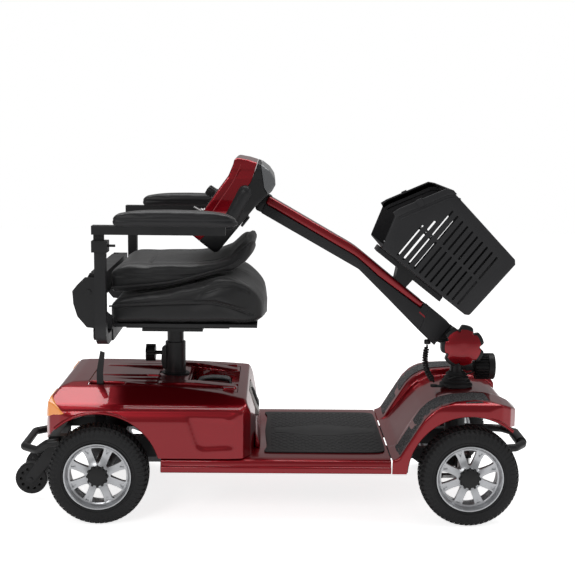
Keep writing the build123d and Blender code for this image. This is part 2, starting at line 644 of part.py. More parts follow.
RING_Z = (BOOT_Z + GAP, 326.0)
EAR_X, EAR_Y, EAR_TOP = 412.0, -22.0, 301.0
with BuildPart() as boot:
    with BuildSketch(Plane.XZ):
        with BuildLine():
            Polyline((COLUMN_R, RING_Z[0]), (BOOT_R, RING_Z[0]), (BOOT_R, RING_Z[0] + 5),
                     (BOOT_R - 7, RING_Z[0] + 9), (BOOT_R - 5, RING_Z[0] + 14),
                     (BOOT_R - 12, RING_Z[0] + 18), (BOOT_R - 10, RING_Z[0] + 23),
                     (BOOT_R - 17, RING_Z[0] + 27), (BOOT_R - 15, RING_Z[0] + 32),
                     (COLUMN_R + 5, RING_Z[1]), (COLUMN_R, RING_Z[1]), close=True)
        make_face()
    revolve(axis=Axis.Z)
with BuildPart() as column_boot:
    add(Pos(STEER_X, 0, 0) * boot.part)
    # ear on the boot's flange, with the strain relief of the curly cord
    add(block((EAR_X - 6, STEER_X - BOOT_R + 4), (EAR_Y - 9, EAR_Y + 9), (RING_Z[0], RING_Z[0] + 3)))
    add(rod((EAR_X, EAR_Y, RING_Z[0]), (EAR_X, EAR_Y, EAR_TOP - 7), 9))
save(column_boot.part, "column_boot")

# headlamp: finned can with a glass lens, held between two cheeks
with BuildPart() as lamp:
    add(rod((LAMP_X, 0, LAMP_Z), (LAMP_X + LAMP_LEN - 4, 0, LAMP_Z), LAMP_R))
    for side in (1, -1):
        add(block((LAMP_X - 22, LAMP_X + 6), sorted((side * 9, side * 13)),
                  (LAMP_Z - 10, LAMP_Z + 10)))
    add(rod((LAMP_PIN_X, -13, LAMP_Z), (LAMP_PIN_X, 13, LAMP_Z), 4))
lens = rod((LAMP_X + LAMP_LEN - 4, 0, LAMP_Z), (LAMP_X + LAMP_LEN, 0, LAMP_Z), LAMP_R - 3)
save(Compound(children=[lamp.part, lens]), "headlamp")

# ---------------------------------------------------------------- tiller
TILLER_TOP = ((-16, 774), (203, 649), (447, 453))
TILLER_LOW = ((408, 399), (212, 592), (-34, 731))
CORD_Y = -20.0


def between(a, b, share):
    return (a[0] + (b[0] - a[0]) * share, a[1] + (b[1] - a[1]) * share)


split_line = [between(a, b, 0.46) for a, b in zip(TILLER_TOP, reversed(TILLER_LOW))]
lower_end = prism([between(TILLER_TOP[1], TILLER_TOP[2], 0.55), TILLER_TOP[2], TILLER_LOW[0],
                   between(TILLER_LOW[1], TILLER_LOW[0], 0.6)], TILLER_HALF)
gland_top = between(TILLER_LOW[0], TILLER_LOW[1], 0.08)
GLAND_Z = gland_top[1] - 12
with BuildPart() as tiller:
    add(prism([*split_line, *TILLER_LOW], TILLER_HALF))
    add(lower_end)
    # fork plates down to the pivot, with the bore for the clamp bolt
    for side in (1, -1):
        add(prism([(TILLER_TOP[2][0] - 30, TILLER_TOP[2][1] + 10), (STEER_X + 16, PIVOT_Z + 14),
                   (STEER_X + 14, PIVOT_Z - 16), (STEER_X - 14, PIVOT_Z - 16),
                   (TILLER_LOW[0][0] - 12, TILLER_LOW[0][1] + 14)],
                  (FORK_OUT - FORK_IN) / 2, side * (FORK_OUT + FORK_IN) / 2))
    add(block((STEER_X - 28, 700), (-FORK_IN, FORK_IN), (300, PIVOT_Z + 40)), mode=Mode.SUBTRACT)
    add(rod((STEER_X, 60, PIVOT_Z), (STEER_X, -60, PIVOT_Z), PIVOT_PIN_R + RUN),
        mode=Mode.SUBTRACT)
    add(rod((gland_top[0], CORD_Y, gland_top[1] + 8), (gland_top[0], CORD_Y, GLAND_Z), 9.5))
save(tiller.part, "tiller_tube")

with BuildPart() as tiller_trim:
    add(prism([*TILLER_TOP, *reversed(split_line)], TILLER_HALF))
    add(lower_end, mode=Mode.SUBTRACT)
save(tiller_trim.part, "tiller_trim")

# clamp bolt with its star knob on the right and a nut on the left
KNOB_Y = (-62.0, -98.0)
with BuildPart() as knob:
    with BuildSketch(side_plane(KNOB_Y[0])) as star:
        with Locations((STEER_X, PIVOT_Z)):
            Circle(KNOB_R)
            with PolarLocations(KNOB_R + 6, 7, 25):
                Circle(14, mode=Mode.SUBTRACT)
        fillet(star.vertices(), 4)
    extrude(amount=KNOB_Y[0] - KNOB_Y[1])
    fillet(knob.edges().group_by(Axis.Y)[0], 8)
    add(rod((STEER_X, KNOB_Y[0], PIVOT_Z), (STEER_X, -FORK_OUT - GAP, PIVOT_Z), 15))
    add(rod((STEER_X, -40, PIVOT_Z), (STEER_X, FORK_OUT + GAP, PIVOT_Z), PIVOT_PIN_R))
    with BuildSketch(side_plane(FORK_OUT + GAP + 10)):
        with Locations((STEER_X, PIVOT_Z)):
            RegularPolygon(14, 6)
    extrude(amount=10)
save(knob.part, "tiller_knob")

# ---------------------------------------------------------------- tiller head
HEAD_SIDE = ((-92, 872), (-32, 855), (0, 822), (1, 806), (-10, 790), (-45, 758), (-138, 640),
             (-148, 638), (-202, 684), (-166, 753), (-136, 796), (-111, 829), (-100, 862))
HEAD_PLAN = ((-300, -HEAD_HALF), (100, -HEAD_HALF), (100, HEAD_HALF), (-300, HEAD_HALF))
HEAD_END = mirrored(((98, 630), (112, 650), (136, 700), (HEAD_HALF, 750), (HEAD_HALF, 828),
                     (140, 848), (122, 885)))
HEAD_WALL = 3.0
SEAM = ((-38, 880), (-56, 812), (-122, 733), (-190, 662))
CAP = ((-34, 900), (-34, 852), (-28, 802), (-14, 780), (60, 780), (60, 900))
head_outer = moulding(HEAD_SIDE, HEAD_PLAN, HEAD_END, 0)
head_inner = moulding(HEAD_SIDE, HEAD_PLAN, HEAD_END, HEAD_WALL)
head_skin = head_outer - head_inner
cap_space = prism(CAP, 200)
rear_space = prism([*SEAM, (-400, 600), (-400, 900)], 200)

FACE_A, FACE_B = HEAD_SIDE[10], HEAD_SIDE[9]
face_len = hypot(FACE_A[0] - FACE_B[0], FACE_A[1] - FACE_B[1])
FACE_N = ((FACE_B[1] - FACE_A[1]) / face_len, (FACE_A[0] - FACE_B[0]) / face_len)
LOW_A, LOW_B = HEAD_SIDE[9], HEAD_SIDE[8]
low_len = hypot(LOW_A[0] - LOW_B[0], LOW_A[1] - LOW_B[1])
LOW_N = ((LOW_B[1] - LOW_A[1]) / low_len, (LOW_A[0] - LOW_B[0]) / low_len)


def normal_rod(at, normal, y, start, end, radius):
    """A rod along a face's normal, from start to end measured outwards from the face."""
    return rod((at[0] + normal[0] * start, y, at[1] + normal[1] * start),
               (at[0] + normal[0] * end, y, at[1] + normal[1] * end), radius)


dial_at = between(FACE_A, FACE_B, 0.5)
horn_at = between(FACE_A, FACE_B, 0.75)
key_at = between(LOW_A, LOW_B, 0.4)
DIAL_Y, HORN_Y, KEY_Y = 0.0, -58.0, 46.0
HORN_R = 9.0

with BuildPart() as head_upper:
    add(head_skin)
    add(rear_space, mode=Mode.INTERSECT)
    add(cap_space, mode=Mode.SUBTRACT)
    add([normal_rod(dial_at, FACE_N, DIAL_Y, -10, 3, 3 + RUN),
         normal_rod(key_at, LOW_N, KEY_Y, -12, 3, 6 + RUN),
         normal_rod(horn_at, FACE_N, HORN_Y, -12, 3, HORN_R + 0.3)], mode=Mode.SUBTRACT)
save(head_upper.part, "head_upper")
with BuildPart() as head_lower:
    add(head_skin)
    add([rear_space, cap_space], mode=Mode.SUBTRACT)
with BuildPart() as head_cap:
    add(head_skin)
    add(cap_space, mode=Mode.INTERSECT)
    add(rear_space, mode=Mode.SUBTRACT)
save(Compound(children=[head_lower.part, head_cap.part]), "head_lower")

with BuildPart() as grips:
    for side in (1, -1):
        add(rod((-70, side * 146, 792), (-112, side * 138, 716), 19))
        for x, y, z in ((-70, 146, 792), (-112, 138, 716)):
            with Locations((x, side * y, z)):
                Sphere(19)
    add(head_outer, mode=Mode.SUBTRACT)
save(grips.part, "grips")

with BuildPart() as dial:
    add(normal_rod(dial_at, FACE_N, DIAL_Y, 0.5, 24, 15))
    add(normal_rod(dial_at, FACE_N, DIAL_Y, -6, 1, 3))
save(dial.part, "speed_dial")
with BuildPart() as horn:
    add(normal_rod(horn_at, FACE_N, HORN_Y, -7, 4, HORN_R))
save(horn.part, "horn_button")
with BuildPart() as key:
    add(normal_rod(key_at, LOW_N, KEY_Y, -7, 12, 6))
    add(normal_rod(key_at, LOW_N, KEY_Y, 0.5, 5, 10))
    with BuildSketch(Plane(origin=(key_at[0] + LOW_N[0] * 10, KEY_Y, key_at[1] + LOW_N[1] * 10),
                           x_dir=(0, 1, 0), z_dir=(LOW_N[0], 0, LOW_N[1]))):
        RectangleRounded(22, 3, 1.4)
    extrude(amount=20)
save(key.part, "key")

# thumb paddles: one plate that rocks about a stud under the head
UNDER_A, UNDER_B = HEAD_SIDE[5], HEAD_SIDE[6]
under_len = hypot(UNDER_A[0] - UNDER_B[0], UNDER_A[1] - UNDER_B[1])
UNDER_N = ((UNDER_A[1] - UNDER_B[1]) / under_len, (UNDER_B[0] - UNDER_A[0]) / under_len)
paddle_at = between(UNDER_A, UNDER_B, 0.33)
with BuildPart() as paddles:
    with BuildSketch(Plane(origin=(paddle_at[0] + UNDER_N[0] * 2, 0,
                                   paddle_at[1] + UNDER_N[1] * 2),
                           x_dir=(0, 1, 0), z_dir=(UNDER_N[0], 0, UNDER_N[1]))):
        Rectangle(200, 12)
        with Locations((-105, 0), (105, 0)):
            RectangleRounded(50, 28, 8)
    extrude(amount=5)
save(paddles.part, "throttle_paddles")

# ---------------------------------------------------------------- basket
BASKET = ((255, 661), (468, 495), (598, 614), (424, 797))
BASKET_HALF = 160.0
BASKET_WALL = 3.0
along = Vector(BASKET[0][0] - BASKET[1][0], 0, BASKET[0][1] - BASKET[1][1]).normalized()
with BuildPart() as basket:
    with BuildSketch(side_plane()):
        with BuildLine():
            Polyline(*BASKET, close=True)
        make_face()
    extrude(amount=BASKET_HALF, both=True)
    with BuildSketch(side_plane()):
        with BuildLine():
            Polyline(*shrunk(list(BASKET), BASKET_WALL), close=True)
        make_face()
    extrude(amount=BASKET_HALF - BASKET_WALL, both=True, mode=Mode.SUBTRACT)
    with BuildSketch(side_plane()):
        with BuildLine():
            Polyline((BASKET[0][0] + 6, BASKET[0][1] - 0.5), (BASKET[3][0] + 1, BASKET[3][1] - 6),
                     (BASKET[3][0] - 30, BASKET[3][1] + 40), (BASKET[0][0] - 30,
                                                              BASKET[0][1] + 40), close=True)
        make_face()
    extrude(amount=BASKET_HALF - BASKET_WALL, both=True, mode=Mode.SUBTRACT)
save(basket.part, "basket")

with BuildPart() as bracket:
    add(prism([between(TILLER_TOP[1], TILLER_TOP[2], 0.42),
               between(TILLER_TOP[1], TILLER_TOP[2], 0.53), between(BASKET[0], BASKET[1], 0.5),
               between(BASKET[0], BASKET[1], 0.28)], 26))
    add(prism([(x + along.Z * GAP, z - along.X * -GAP) for x, z in BASKET], BASKET_HALF),
        mode=Mode.SUBTRACT)
save(bracket.part, "basket_bracket")

# ---------------------------------------------------------------- curly cord
CORD_R = 8.0
cord_points = [(gland_top[0], CORD_Y, GLAND_Z - 5), (386, -28, 372), (387, -31, 346),
               (396, -29, 322), (EAR_X, EAR_Y, EAR_TOP)]
radii = []
for a, b, c in zip(cord_points, cord_points[1:], cord_points[2:]):
    turn = radians((Vector(*b) - Vector(*a)).get_angle(Vector(*c) - Vector(*b)))
    run = min((Vector(*b) - Vector(*a)).length, (Vector(*c) - Vector(*b)).length)
    radii.append(0.45 * run / tan(turn / 2))
print("cord bend radii", [round(r) for r in radii])
with BuildPart() as cord:
    with BuildLine() as route:
        FilletPolyline(*cord_points, radius=radii)
    with BuildSketch(Plane(origin=route.line @ 0, z_dir=route.line % 0)):
        Circle(CORD_R)
    sweep()
route_length = sum(edge.length for edge in route.edges())
print("cord volume over section x length", cord.part.volume / (pi * CORD_R ** 2 * route_length))
save(cord.part, "curly_cord")

# ---------------------------------------------------------------- seat
with BuildPart() as post:
    add(rod((POST_X, 0, 240), (POST_X, 0, SEAT_BASE_Z - 10), POST_R))
    add(rod((POST_X, 0, SEAT_BASE_Z - 10), (POST_X, 0, SEAT_BASE_Z - GAP), 30))
    add(rod((POST_X, 0, SEAT_BASE_Z - GAP), (POST_X, 0, SEAT_BASE_Z + 7), 12))
save(post.part, "seat_post")

with BuildPart() as height_knob:
    add(rod((POST_X - POST_R - 1, 0, CLAMP_Z), (POST_X - 60, 0, CLAMP_Z), STEM_R))
    with BuildSketch(Plane.YZ.offset(POST_X - 51)):
        with Locations((0, CLAMP_Z)):
            Circle(22)
            with PolarLocations(24, 6):
                Circle(5, mode=Mode.SUBTRACT)
    extrude(amount=-24)
save(height_knob.part, "height_knob")

RAIL_TOP_Y = 82.0
with BuildPart() as seat_base:
    add(block((POST_X - 75, POST_X + 75), (-RAIL_TOP_Y - 12, RAIL_TOP_Y + 12),
              (SEAT_BASE_Z, SEAT_BASE_Z + 8)))
    for side in (1, -1):
        add(block((-365, -110), sorted((side * (RAIL_TOP_Y - 10), side * (RAIL_TOP_Y + 10))),
                  (SEAT_BASE_Z + 8, SEAT_BASE_Z + 16)))
    add(rod((POST_X, 0, SEAT_BASE_Z - 5), (POST_X, 0, SEAT_BASE_Z + 20), 12 + RUN),
        mode=Mode.SUBTRACT)
save(seat_base.part, "seat_base")

PAN_T = 8.0
PAN = (-404.0, -40.0)
HINGE_Y = (222.0, 232.0)
PIN_R = 6.0
SOCKET_HALF = 15.0
with BuildPart() as pan:
    add(block(PAN, (-SEAT_HALF + 18, SEAT_HALF - 18), (PAN_Z, PAN_Z + PAN_T)))
    # upper seat rails, over the base's rails
    for side in (1, -1):
        add(block((-360, -90), sorted((side * (RAIL_TOP_Y - 14), side * (RAIL_TOP_Y + 14))),
                  (PAN_Z - 12, PAN_Z)))
    # cross tube that takes the armrest stubs
    add(block((SOCKET_X - SOCKET_HALF, SOCKET_X + SOCKET_HALF), (-215, 215),
              (SOCKET_Z - SOCKET_HALF, SOCKET_Z + SOCKET_HALF)))
    add(block((SOCKET_X - ARM_TUBE / 2 - 0.3, SOCKET_X + ARM_TUBE / 2 + 0.3), (-216, 216),
              (SOCKET_Z - ARM_TUBE / 2 - 0.3, SOCKET_Z + ARM_TUBE / 2 + 0.3)),
        mode=Mode.SUBTRACT)
    for side in (1, -1):
        add(rod((SOCKET_X - 30, side * 190, SOCKET_Z), (SOCKET_X, side * 190, SOCKET_Z),
                4 + RUN), mode=Mode.SUBTRACT)
        # rear cheeks that carry the backrest hinge bolts
        add(prism([(-473, 560), (-471, 530), (-462, 500), (-440, 474), (-404, PAN_Z),
                   (-380, PAN_Z), (-380, 500), (-404, 520), (-404, 590), (-444, 592),
                   (-462, 574)], (HINGE_Y[1] - HINGE_Y[0]) / 2,
                  side * (HINGE_Y[0] + HINGE_Y[1]) / 2))
        add(block((-404, -380), sorted((side * (SEAT_HALF - 20), side * HINGE_Y[1])),
                  (PAN_Z, PAN_Z + PAN_T)))
        add(rod((HINGE_X, side * 196, HINGE_Z), (HINGE_X, side * (HINGE_Y[1] + 3), HINGE_Z),
                PIN_R))
save(pan.part, "seat_pan")

CUSHION = ((-398, PAN_Z + PAN_T), (-400, 530), (-348, 540), (-257, 552), (-180, 574), (-131, 590),
           (-94, 595), (-60, 584), (-24, 545), (-10, 506), (-16, 488), (-50, PAN_Z + PAN_T))
BACK = ((-398, 545), (-257, 560), (-180, 580), (-131, 599), (-96, 608), (-62, 636), (-48, 656),
        (-46, 670), (-57, 680), (-67, 675), (-84, 654), (-104, 631), (-140, 622), (-198, 617),
        (-366, 616), (-398, 604))
with BuildPart() as cushion:
    add(prism(CUSHION, SEAT_HALF))
save(cushion.part, "seat_cushion")
with BuildPart() as backrest:
    add(prism(BACK, SEAT_HALF - 30))
save(backrest.part, "backrest_cushion")
with BuildPart() as back_frame:
    add(block((-436, -399), (-SEAT_HALF + 34, SEAT_HALF - 34), (548, 600)))
    for side in (1, -1):
        add(prism([(HINGE_X - 16, HINGE_Z - 14), (-399, HINGE_Z - 10), (-399, 600),
                   (HINGE_X, 600), (HINGE_X - 16, HINGE_Z + 12)], 6, side * 208))
        add(block((-420, -399), sorted((side * 180, side * 214)), (575, 600)))
    for side in (1, -1):
        add(rod((HINGE_X, side * 180, HINGE_Z), (HINGE_X, side * 220, HINGE_Z), PIN_R + RUN),
            mode=Mode.SUBTRACT)
save(back_frame.part, "backrest_frame")

# ---------------------------------------------------------------- armrests
SHOULDER_Z = 688.0
TONGUE = 12.0                 # half length of the tongue at the pivot
ARM_PIN_R = 4.0
BEND_R = 40.0
for name, side in SIDES:
    with BuildPart() as arm_post:
        with BuildLine() as arm_path:
            FilletPolyline((SOCKET_X, side * 60, SOCKET_Z), (SOCKET_X, side * ARM_Y, SOCKET_Z),
                           (SOCKET_X, side * ARM_Y, SHOULDER_Z), radius=BEND_R)
        with BuildSketch(Plane(origin=arm_path.line @ 0, z_dir=arm_path.line % 0)):
            Rectangle(ARM_TUBE, ARM_TUBE)
        sweep()
        add(block((ARM_PIVOT_X - TONGUE, ARM_PIVOT_X + TONGUE),
                  (side * ARM_Y - 3.5, side * ARM_Y + 3.5), (SHOULDER_Z - 5, ARM_PIVOT_Z + 10)))
        # plastic clamp round the top of the tube
        add(block((SOCKET_X - 18, SOCKET_X + 18), (side * ARM_Y - 18, side * ARM_Y + 18),
                  (SHOULDER_Z - 26, SHOULDER_Z)))
        add(rod((SOCKET_X + 10, side * ARM_Y, SHOULDER_Z - 12),
                (SOCKET_X + 34, side * ARM_Y, SHOULDER_Z - 12), 3))
        add(rod((ARM_PIVOT_X, side * ARM_Y - 10, ARM_PIVOT_Z),
                (ARM_PIVOT_X, side * ARM_Y + 10, ARM_PIVOT_Z), ARM_PIN_R + RUN),
            mode=Mode.SUBTRACT)
    save(arm_post.part, f"armrest_post_{name}")

    with BuildPart() as arm:
        add(block((ARM_PIVOT_X - 15, -112), (side * ARM_Y - 15, side * ARM_Y + 15),
                  (ARM_PIVOT_Z - 10, ARM_PIVOT_Z + 10)))
        add(block((ARM_PIVOT_X - 16, ARM_PIVOT_X + 23), (side * ARM_Y - 4.2, side * ARM_Y + 4.2),
                  (ARM_PIVOT_Z - 11, ARM_PIVOT_Z + 11)), mode=Mode.SUBTRACT)
        add(rod((ARM_PIVOT_X, side * ARM_Y - 15, ARM_PIVOT_Z),
                (ARM_PIVOT_X, side * ARM_Y + 15, ARM_PIVOT_Z), ARM_PIN_R))
    save(arm.part, f"armrest_arm_{name}")

    with BuildPart() as pad:
        with BuildSketch(Plane.XY.offset(ARM_PIVOT_Z + 10)):
            with Locations(((PAD_REAR + PAD_FRONT) / 2, side * ARM_Y)):
                RectangleRounded(PAD_FRONT - PAD_REAR, 56, 26)
        extrude(amount=PAD_TOP - ARM_PIVOT_Z - 10)
        fillet(pad.edges().group_by(Axis.Z)[-1], 12)
    save(pad.part, f"armrest_pad_{name}")

    with BuildPart() as width_knob:
        add(rod((SOCKET_X - SOCKET_HALF - 8, side * 190, SOCKET_Z),
                (SOCKET_X - ARM_TUBE / 2 - 0.8, side * 190, SOCKET_Z), 4))
        with BuildSketch(Plane.YZ.offset(SOCKET_X - SOCKET_HALF - 3)):
            with Locations((side * 190, SOCKET_Z)):
                Circle(19)
                with PolarLocations(22, 6):
                    Circle(6, mode=Mode.SUBTRACT)
        extrude(amount=-16)
    save(width_knob.part, f"width_knob_{name}")
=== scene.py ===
# %% [markdown]
# A folding four-wheel mobility scooter, stood on a pale studio floor in the pose it is stored in.
# The frame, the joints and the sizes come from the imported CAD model, which is loaded first and
# never changed. Everything below adds looks: smooth mouldings in place of the CAD's plain ones,
# padded vinyl, tread, spokes, a coiled cable, and a finish for every surface.

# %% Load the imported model
from math import cos, hypot, pi, radians, sin

import bpy
from mathutils import Matrix, Vector


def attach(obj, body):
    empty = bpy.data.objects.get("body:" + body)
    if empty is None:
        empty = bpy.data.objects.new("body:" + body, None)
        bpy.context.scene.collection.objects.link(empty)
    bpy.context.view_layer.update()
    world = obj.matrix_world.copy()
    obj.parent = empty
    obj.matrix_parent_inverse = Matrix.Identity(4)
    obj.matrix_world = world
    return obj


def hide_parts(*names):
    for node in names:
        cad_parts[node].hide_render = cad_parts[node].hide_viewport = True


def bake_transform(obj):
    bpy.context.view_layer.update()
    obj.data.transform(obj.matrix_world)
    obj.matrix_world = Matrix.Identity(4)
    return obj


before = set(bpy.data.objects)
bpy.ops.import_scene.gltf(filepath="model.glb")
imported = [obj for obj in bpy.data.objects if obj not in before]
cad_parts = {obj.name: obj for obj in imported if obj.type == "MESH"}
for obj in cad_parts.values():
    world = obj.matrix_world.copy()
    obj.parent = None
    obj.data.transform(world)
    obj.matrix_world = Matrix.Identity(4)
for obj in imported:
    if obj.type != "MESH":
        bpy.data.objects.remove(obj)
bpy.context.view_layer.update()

# %% [markdown]
# The camera stands just under three metres to the scooter's right, a little higher than its
# top, and looks slightly down. A long lens keeps the wheels round and the lines nearly parallel.

# %% Camera
CAMERA_AT = Vector((-0.0108, -2.8906, 0.9624))
LENS, TILT, YAW, ROLL = 71.8, radians(8.33), radians(0.89), radians(0.645)

camera_data = bpy.data.cameras.new("studio_camera")
camera_data.lens = LENS
camera_data.sensor_width = 36.0
camera = bpy.data.objects.new("studio_camera", camera_data)
bpy.context.scene.collection.objects.link(camera)
camera.matrix_world = (Matrix.Translation(CAMERA_AT) @ Matrix.Rotation(-YAW, 4, "Z")
                       @ Matrix.Rotation(pi / 2 - TILT, 4, "X") @ Matrix.Rotation(ROLL, 4, "Z"))
bpy.context.scene.camera = camera

# %% [markdown]
# Most of the new pieces start as outlines. A few helpers do what hands would do with the mouse:
# add a primitive, pull it into an outline, give it depth, cut it with another piece, and melt the
# result into one moulded skin. Booleans and remeshing are the quickest way to a moulding whose
# edges are all softly rounded, because the remesh rounds every edge by about its voxel size.

# %% Helpers: selecting, applying, joining
MM = 0.001


def only(*objects):
    """Deselect everything, then select these, with the first one active."""
    bpy.ops.object.select_all(action="DESELECT")
    for obj in objects:
        obj.select_set(True)
    bpy.context.view_layer.objects.active = objects[0]


def apply(obj, kind, **values):
    """Add one modifier to a piece and apply it."""
    modifier = obj.modifiers.new(kind.lower(), kind)
    for key, value in values.items():
        setattr(modifier, key, value)
    only(obj)
    bpy.ops.object.modifier_apply(modifier=modifier.name)


def cut(obj, tool, operation="DIFFERENCE"):
    """Boolean a tool into a piece, and throw the tool away."""
    apply(obj, "BOOLEAN", operation=operation, object=tool, solver="EXACT")
    bpy.data.objects.remove(tool)


def join(name, *parts):
    """Join pieces into one, under a new name."""
    only(*parts)
    if len(parts) > 1:
        bpy.ops.object.join()
    parts[0].name = name
    return parts[0]


def smooth(obj, angle=35):
    """Shade a piece smooth, except across edges sharper than the angle."""
    only(obj)
    bpy.ops.object.shade_smooth_by_angle(angle=radians(angle))


def face_outwards(obj):
    """Merge doubles and turn every face outwards."""
    only(obj)
    bpy.ops.object.mode_set(mode="EDIT")
    bpy.ops.mesh.select_all(action="SELECT")
    bpy.ops.mesh.remove_doubles(threshold=1e-5)
    bpy.ops.mesh.normals_make_consistent(inside=False)
    bpy.ops.object.mode_set(mode="OBJECT")


def twin(obj, name, matrix):
    """A copy with its own mesh, moved by a matrix; a mirrored copy is turned right side out."""
    copy = obj.copy()
    copy.data = obj.data.copy()
    copy.name = name
    bpy.context.scene.collection.objects.link(copy)
    copy.data.transform(matrix)
    if matrix.determinant() < 0:
        copy.data.flip_normals()
    return copy


# %% Helpers: outlines made solid
AXES = {"side": (0, 2, 1), "plan": (0, 1, 2), "front": (1, 2, 0)}


def slab(name, outline, view, low, high):
    """An outline drawn in one view, in millimetres, made solid from low to high across it."""
    bpy.ops.mesh.primitive_circle_add(vertices=len(outline), radius=1, fill_type="NGON")
    obj = bpy.context.object
    obj.name = name
    across, up, depth = AXES[view]
    for vertex, (a, b) in zip(obj.data.vertices, outline):
        vertex.co[across], vertex.co[up], vertex.co[depth] = a * MM, b * MM, low * MM
    move = [0.0, 0.0, 0.0]
    move[depth] = (high - low) * MM
    bpy.ops.object.mode_set(mode="EDIT")
    bpy.ops.mesh.select_all(action="SELECT")
    bpy.ops.mesh.extrude_region_move(TRANSFORM_OT_translate={"value": move})
    bpy.ops.object.mode_set(mode="OBJECT")
    face_outwards(obj)
    return obj


def rounded(points):
    """A closed outline softened by cutting every corner twice, keeping its straight runs."""
    for _ in range(2):
        new = []
        for a, b in zip(points, points[1:] + points[:1]):
            run = hypot(b[0] - a[0], b[1] - a[1])
            share = min(0.25, 14.0 / max(run, 1e-6))
            new.append((a[0] + (b[0] - a[0]) * share, a[1] + (b[1] - a[1]) * share))
            new.append((b[0] + (a[0] - b[0]) * share, b[1] + (a[1] - b[1]) * share))
        points = new
    return points


def curve_through(points, count):
    """Evenly spaced points on a smooth open curve through a few given ones."""
    pts = [points[0], *points, points[-1]]
    out = []
    for i in range(1, len(pts) - 2):
        a, b, c, d = pts[i - 1:i + 3]
        for k in range(count):
            t = k / count
            out.append(tuple(0.5 * (2 * b[n] + (c[n] - a[n]) * t
                                    + (2 * a[n] - 5 * b[n] + 4 * c[n] - d[n]) * t * t
                                    + (3 * b[n] - a[n] - 3 * c[n] + d[n]) * t ** 3)
                             for n in range(len(b))))
    out.append(tuple(points[-1]))
    return out


def mirrored(outline):
    """A whole end view from its half with y above 0."""
    return list(outline) + [(-y, z) for y, z in reversed(outline) if y > 0]


def bar(name, start, end, radius, sides=32):
    """A round bar between two points, in millimetres."""
    a, b = Vector(start) * MM, Vector(end) * MM
    turn = (b - a).to_track_quat("Z", "Y").to_matrix().to_4x4()
    bpy.ops.mesh.primitive_cylinder_add(vertices=sides, radius=radius * MM, depth=(b - a).length)
    obj = bpy.context.object
    obj.name = name
    obj.data.transform(Matrix.Translation((a + b) / 2) @ turn)
    return obj


def moulded(obj, voxel, rounds):
    """Melt a solid into one skin with softly rounded edges."""
    apply(obj, "REMESH", mode="VOXEL", voxel_size=voxel * MM)
    apply(obj, "SMOOTH", factor=0.5, iterations=rounds)


def remove_faces(obj, unwanted):
    """Delete the faces whose middle and normal the test picks out."""
    only(obj)
    bpy.ops.object.mode_set(mode="EDIT")
    bpy.ops.mesh.select_all(action="DESELECT")
    bpy.ops.object.mode_set(mode="OBJECT")
    for face in obj.data.polygons:
        face.select = unwanted(face.center / MM, face.normal)
    bpy.ops.object.mode_set(mode="EDIT")
    bpy.ops.mesh.delete(type="FACE")
    bpy.ops.object.mode_set(mode="OBJECT")


def tube(name, points, radius, sides=12, closed=False):
    """A round tube along points in metres, made from a curve and turned into a mesh."""
    data = bpy.data.curves.new(name, "CURVE")
    data.dimensions = "3D"
    spline = data.splines.new("POLY")
    spline.points.add(len(points) - 1)
    for item, p in zip(spline.points, points):
        item.co = (*p, 1)
    spline.use_cyclic_u = closed
    data.bevel_depth = radius
    data.bevel_resolution = max(1, sides // 4 - 1)
    data.use_fill_caps = not closed
    obj = bpy.data.objects.new(name, data)
    bpy.context.scene.collection.objects.link(obj)
    only(obj)
    bpy.ops.object.convert(target="MESH")
    smooth(bpy.context.object, 50)
    return bpy.context.object


# %% [markdown]
# Finishes. Real plastic, paint and rubber are never one flat colour: their gloss and tone wander a
# little and their surface has a fine grain. One node group makes that wandering for every finish,
# with its own scale and strength each time, and the shader itself stays in each material.

# %% Shared node group: wandering tone, gloss and grain
def make_wander_group():
    """Colour and roughness that wander together over a surface from one noise, and a height from a
    second noise.
    """
    group = bpy.data.node_groups.new("wander", "ShaderNodeTree")
    for name, kind, default in (("Colour", "NodeSocketColor", (0.5, 0.5, 0.5, 1)),
                                ("Deep", "NodeSocketColor", (0.4, 0.4, 0.4, 1)),
                                ("Gloss low", "NodeSocketFloat", 0.3),
                                ("Gloss high", "NodeSocketFloat", 0.4),
                                ("Patch", "NodeSocketFloat", 12.0),
                                ("Grain", "NodeSocketFloat", 900.0)):
        socket = group.interface.new_socket(name=name, in_out="INPUT", socket_type=kind)
        socket.default_value = default
    for name, kind in (("Colour", "NodeSocketColor"), ("Roughness", "NodeSocketFloat"),
                       ("Height", "NodeSocketFloat")):
        group.interface.new_socket(name=name, in_out="OUTPUT", socket_type=kind)
    nodes, links = group.nodes, group.links
    given, result = nodes.new("NodeGroupInput"), nodes.new("NodeGroupOutput")
    place = nodes.new("ShaderNodeTexCoord")
    patch, grain = nodes.new("ShaderNodeTexNoise"), nodes.new("ShaderNodeTexNoise")
    patch.inputs["Detail"].default_value = 5
    grain.inputs["Detail"].default_value = 3
    tint, gloss = nodes.new("ShaderNodeMix"), nodes.new("ShaderNodeMapRange")
    tint.data_type = "RGBA"
    links.new(place.outputs["Object"], patch.inputs["Vector"])
    links.new(place.outputs["Object"], grain.inputs["Vector"])
    links.new(given.outputs["Patch"], patch.inputs["Scale"])
    links.new(given.outputs["Grain"], grain.inputs["Scale"])
    links.new(patch.outputs["Fac"], tint.inputs["Factor"])
    links.new(given.outputs["Colour"], tint.inputs["A"])
    links.new(given.outputs["Deep"], tint.inputs["B"])
    links.new(patch.outputs["Fac"], gloss.inputs["Value"])
    links.new(given.outputs["Gloss low"], gloss.inputs["To Min"])
    links.new(given.outputs["Gloss high"], gloss.inputs["To Max"])
    gloss.inputs["From Min"].default_value = 0.3
    gloss.inputs["From Max"].default_value = 0.7
    links.new(tint.outputs["Result"], result.inputs["Colour"])
    links.new(gloss.outputs["Result"], result.inputs["Roughness"])
    links.new(grain.outputs["Fac"], result.inputs["Height"])
    return group


WANDER = make_wander_group()


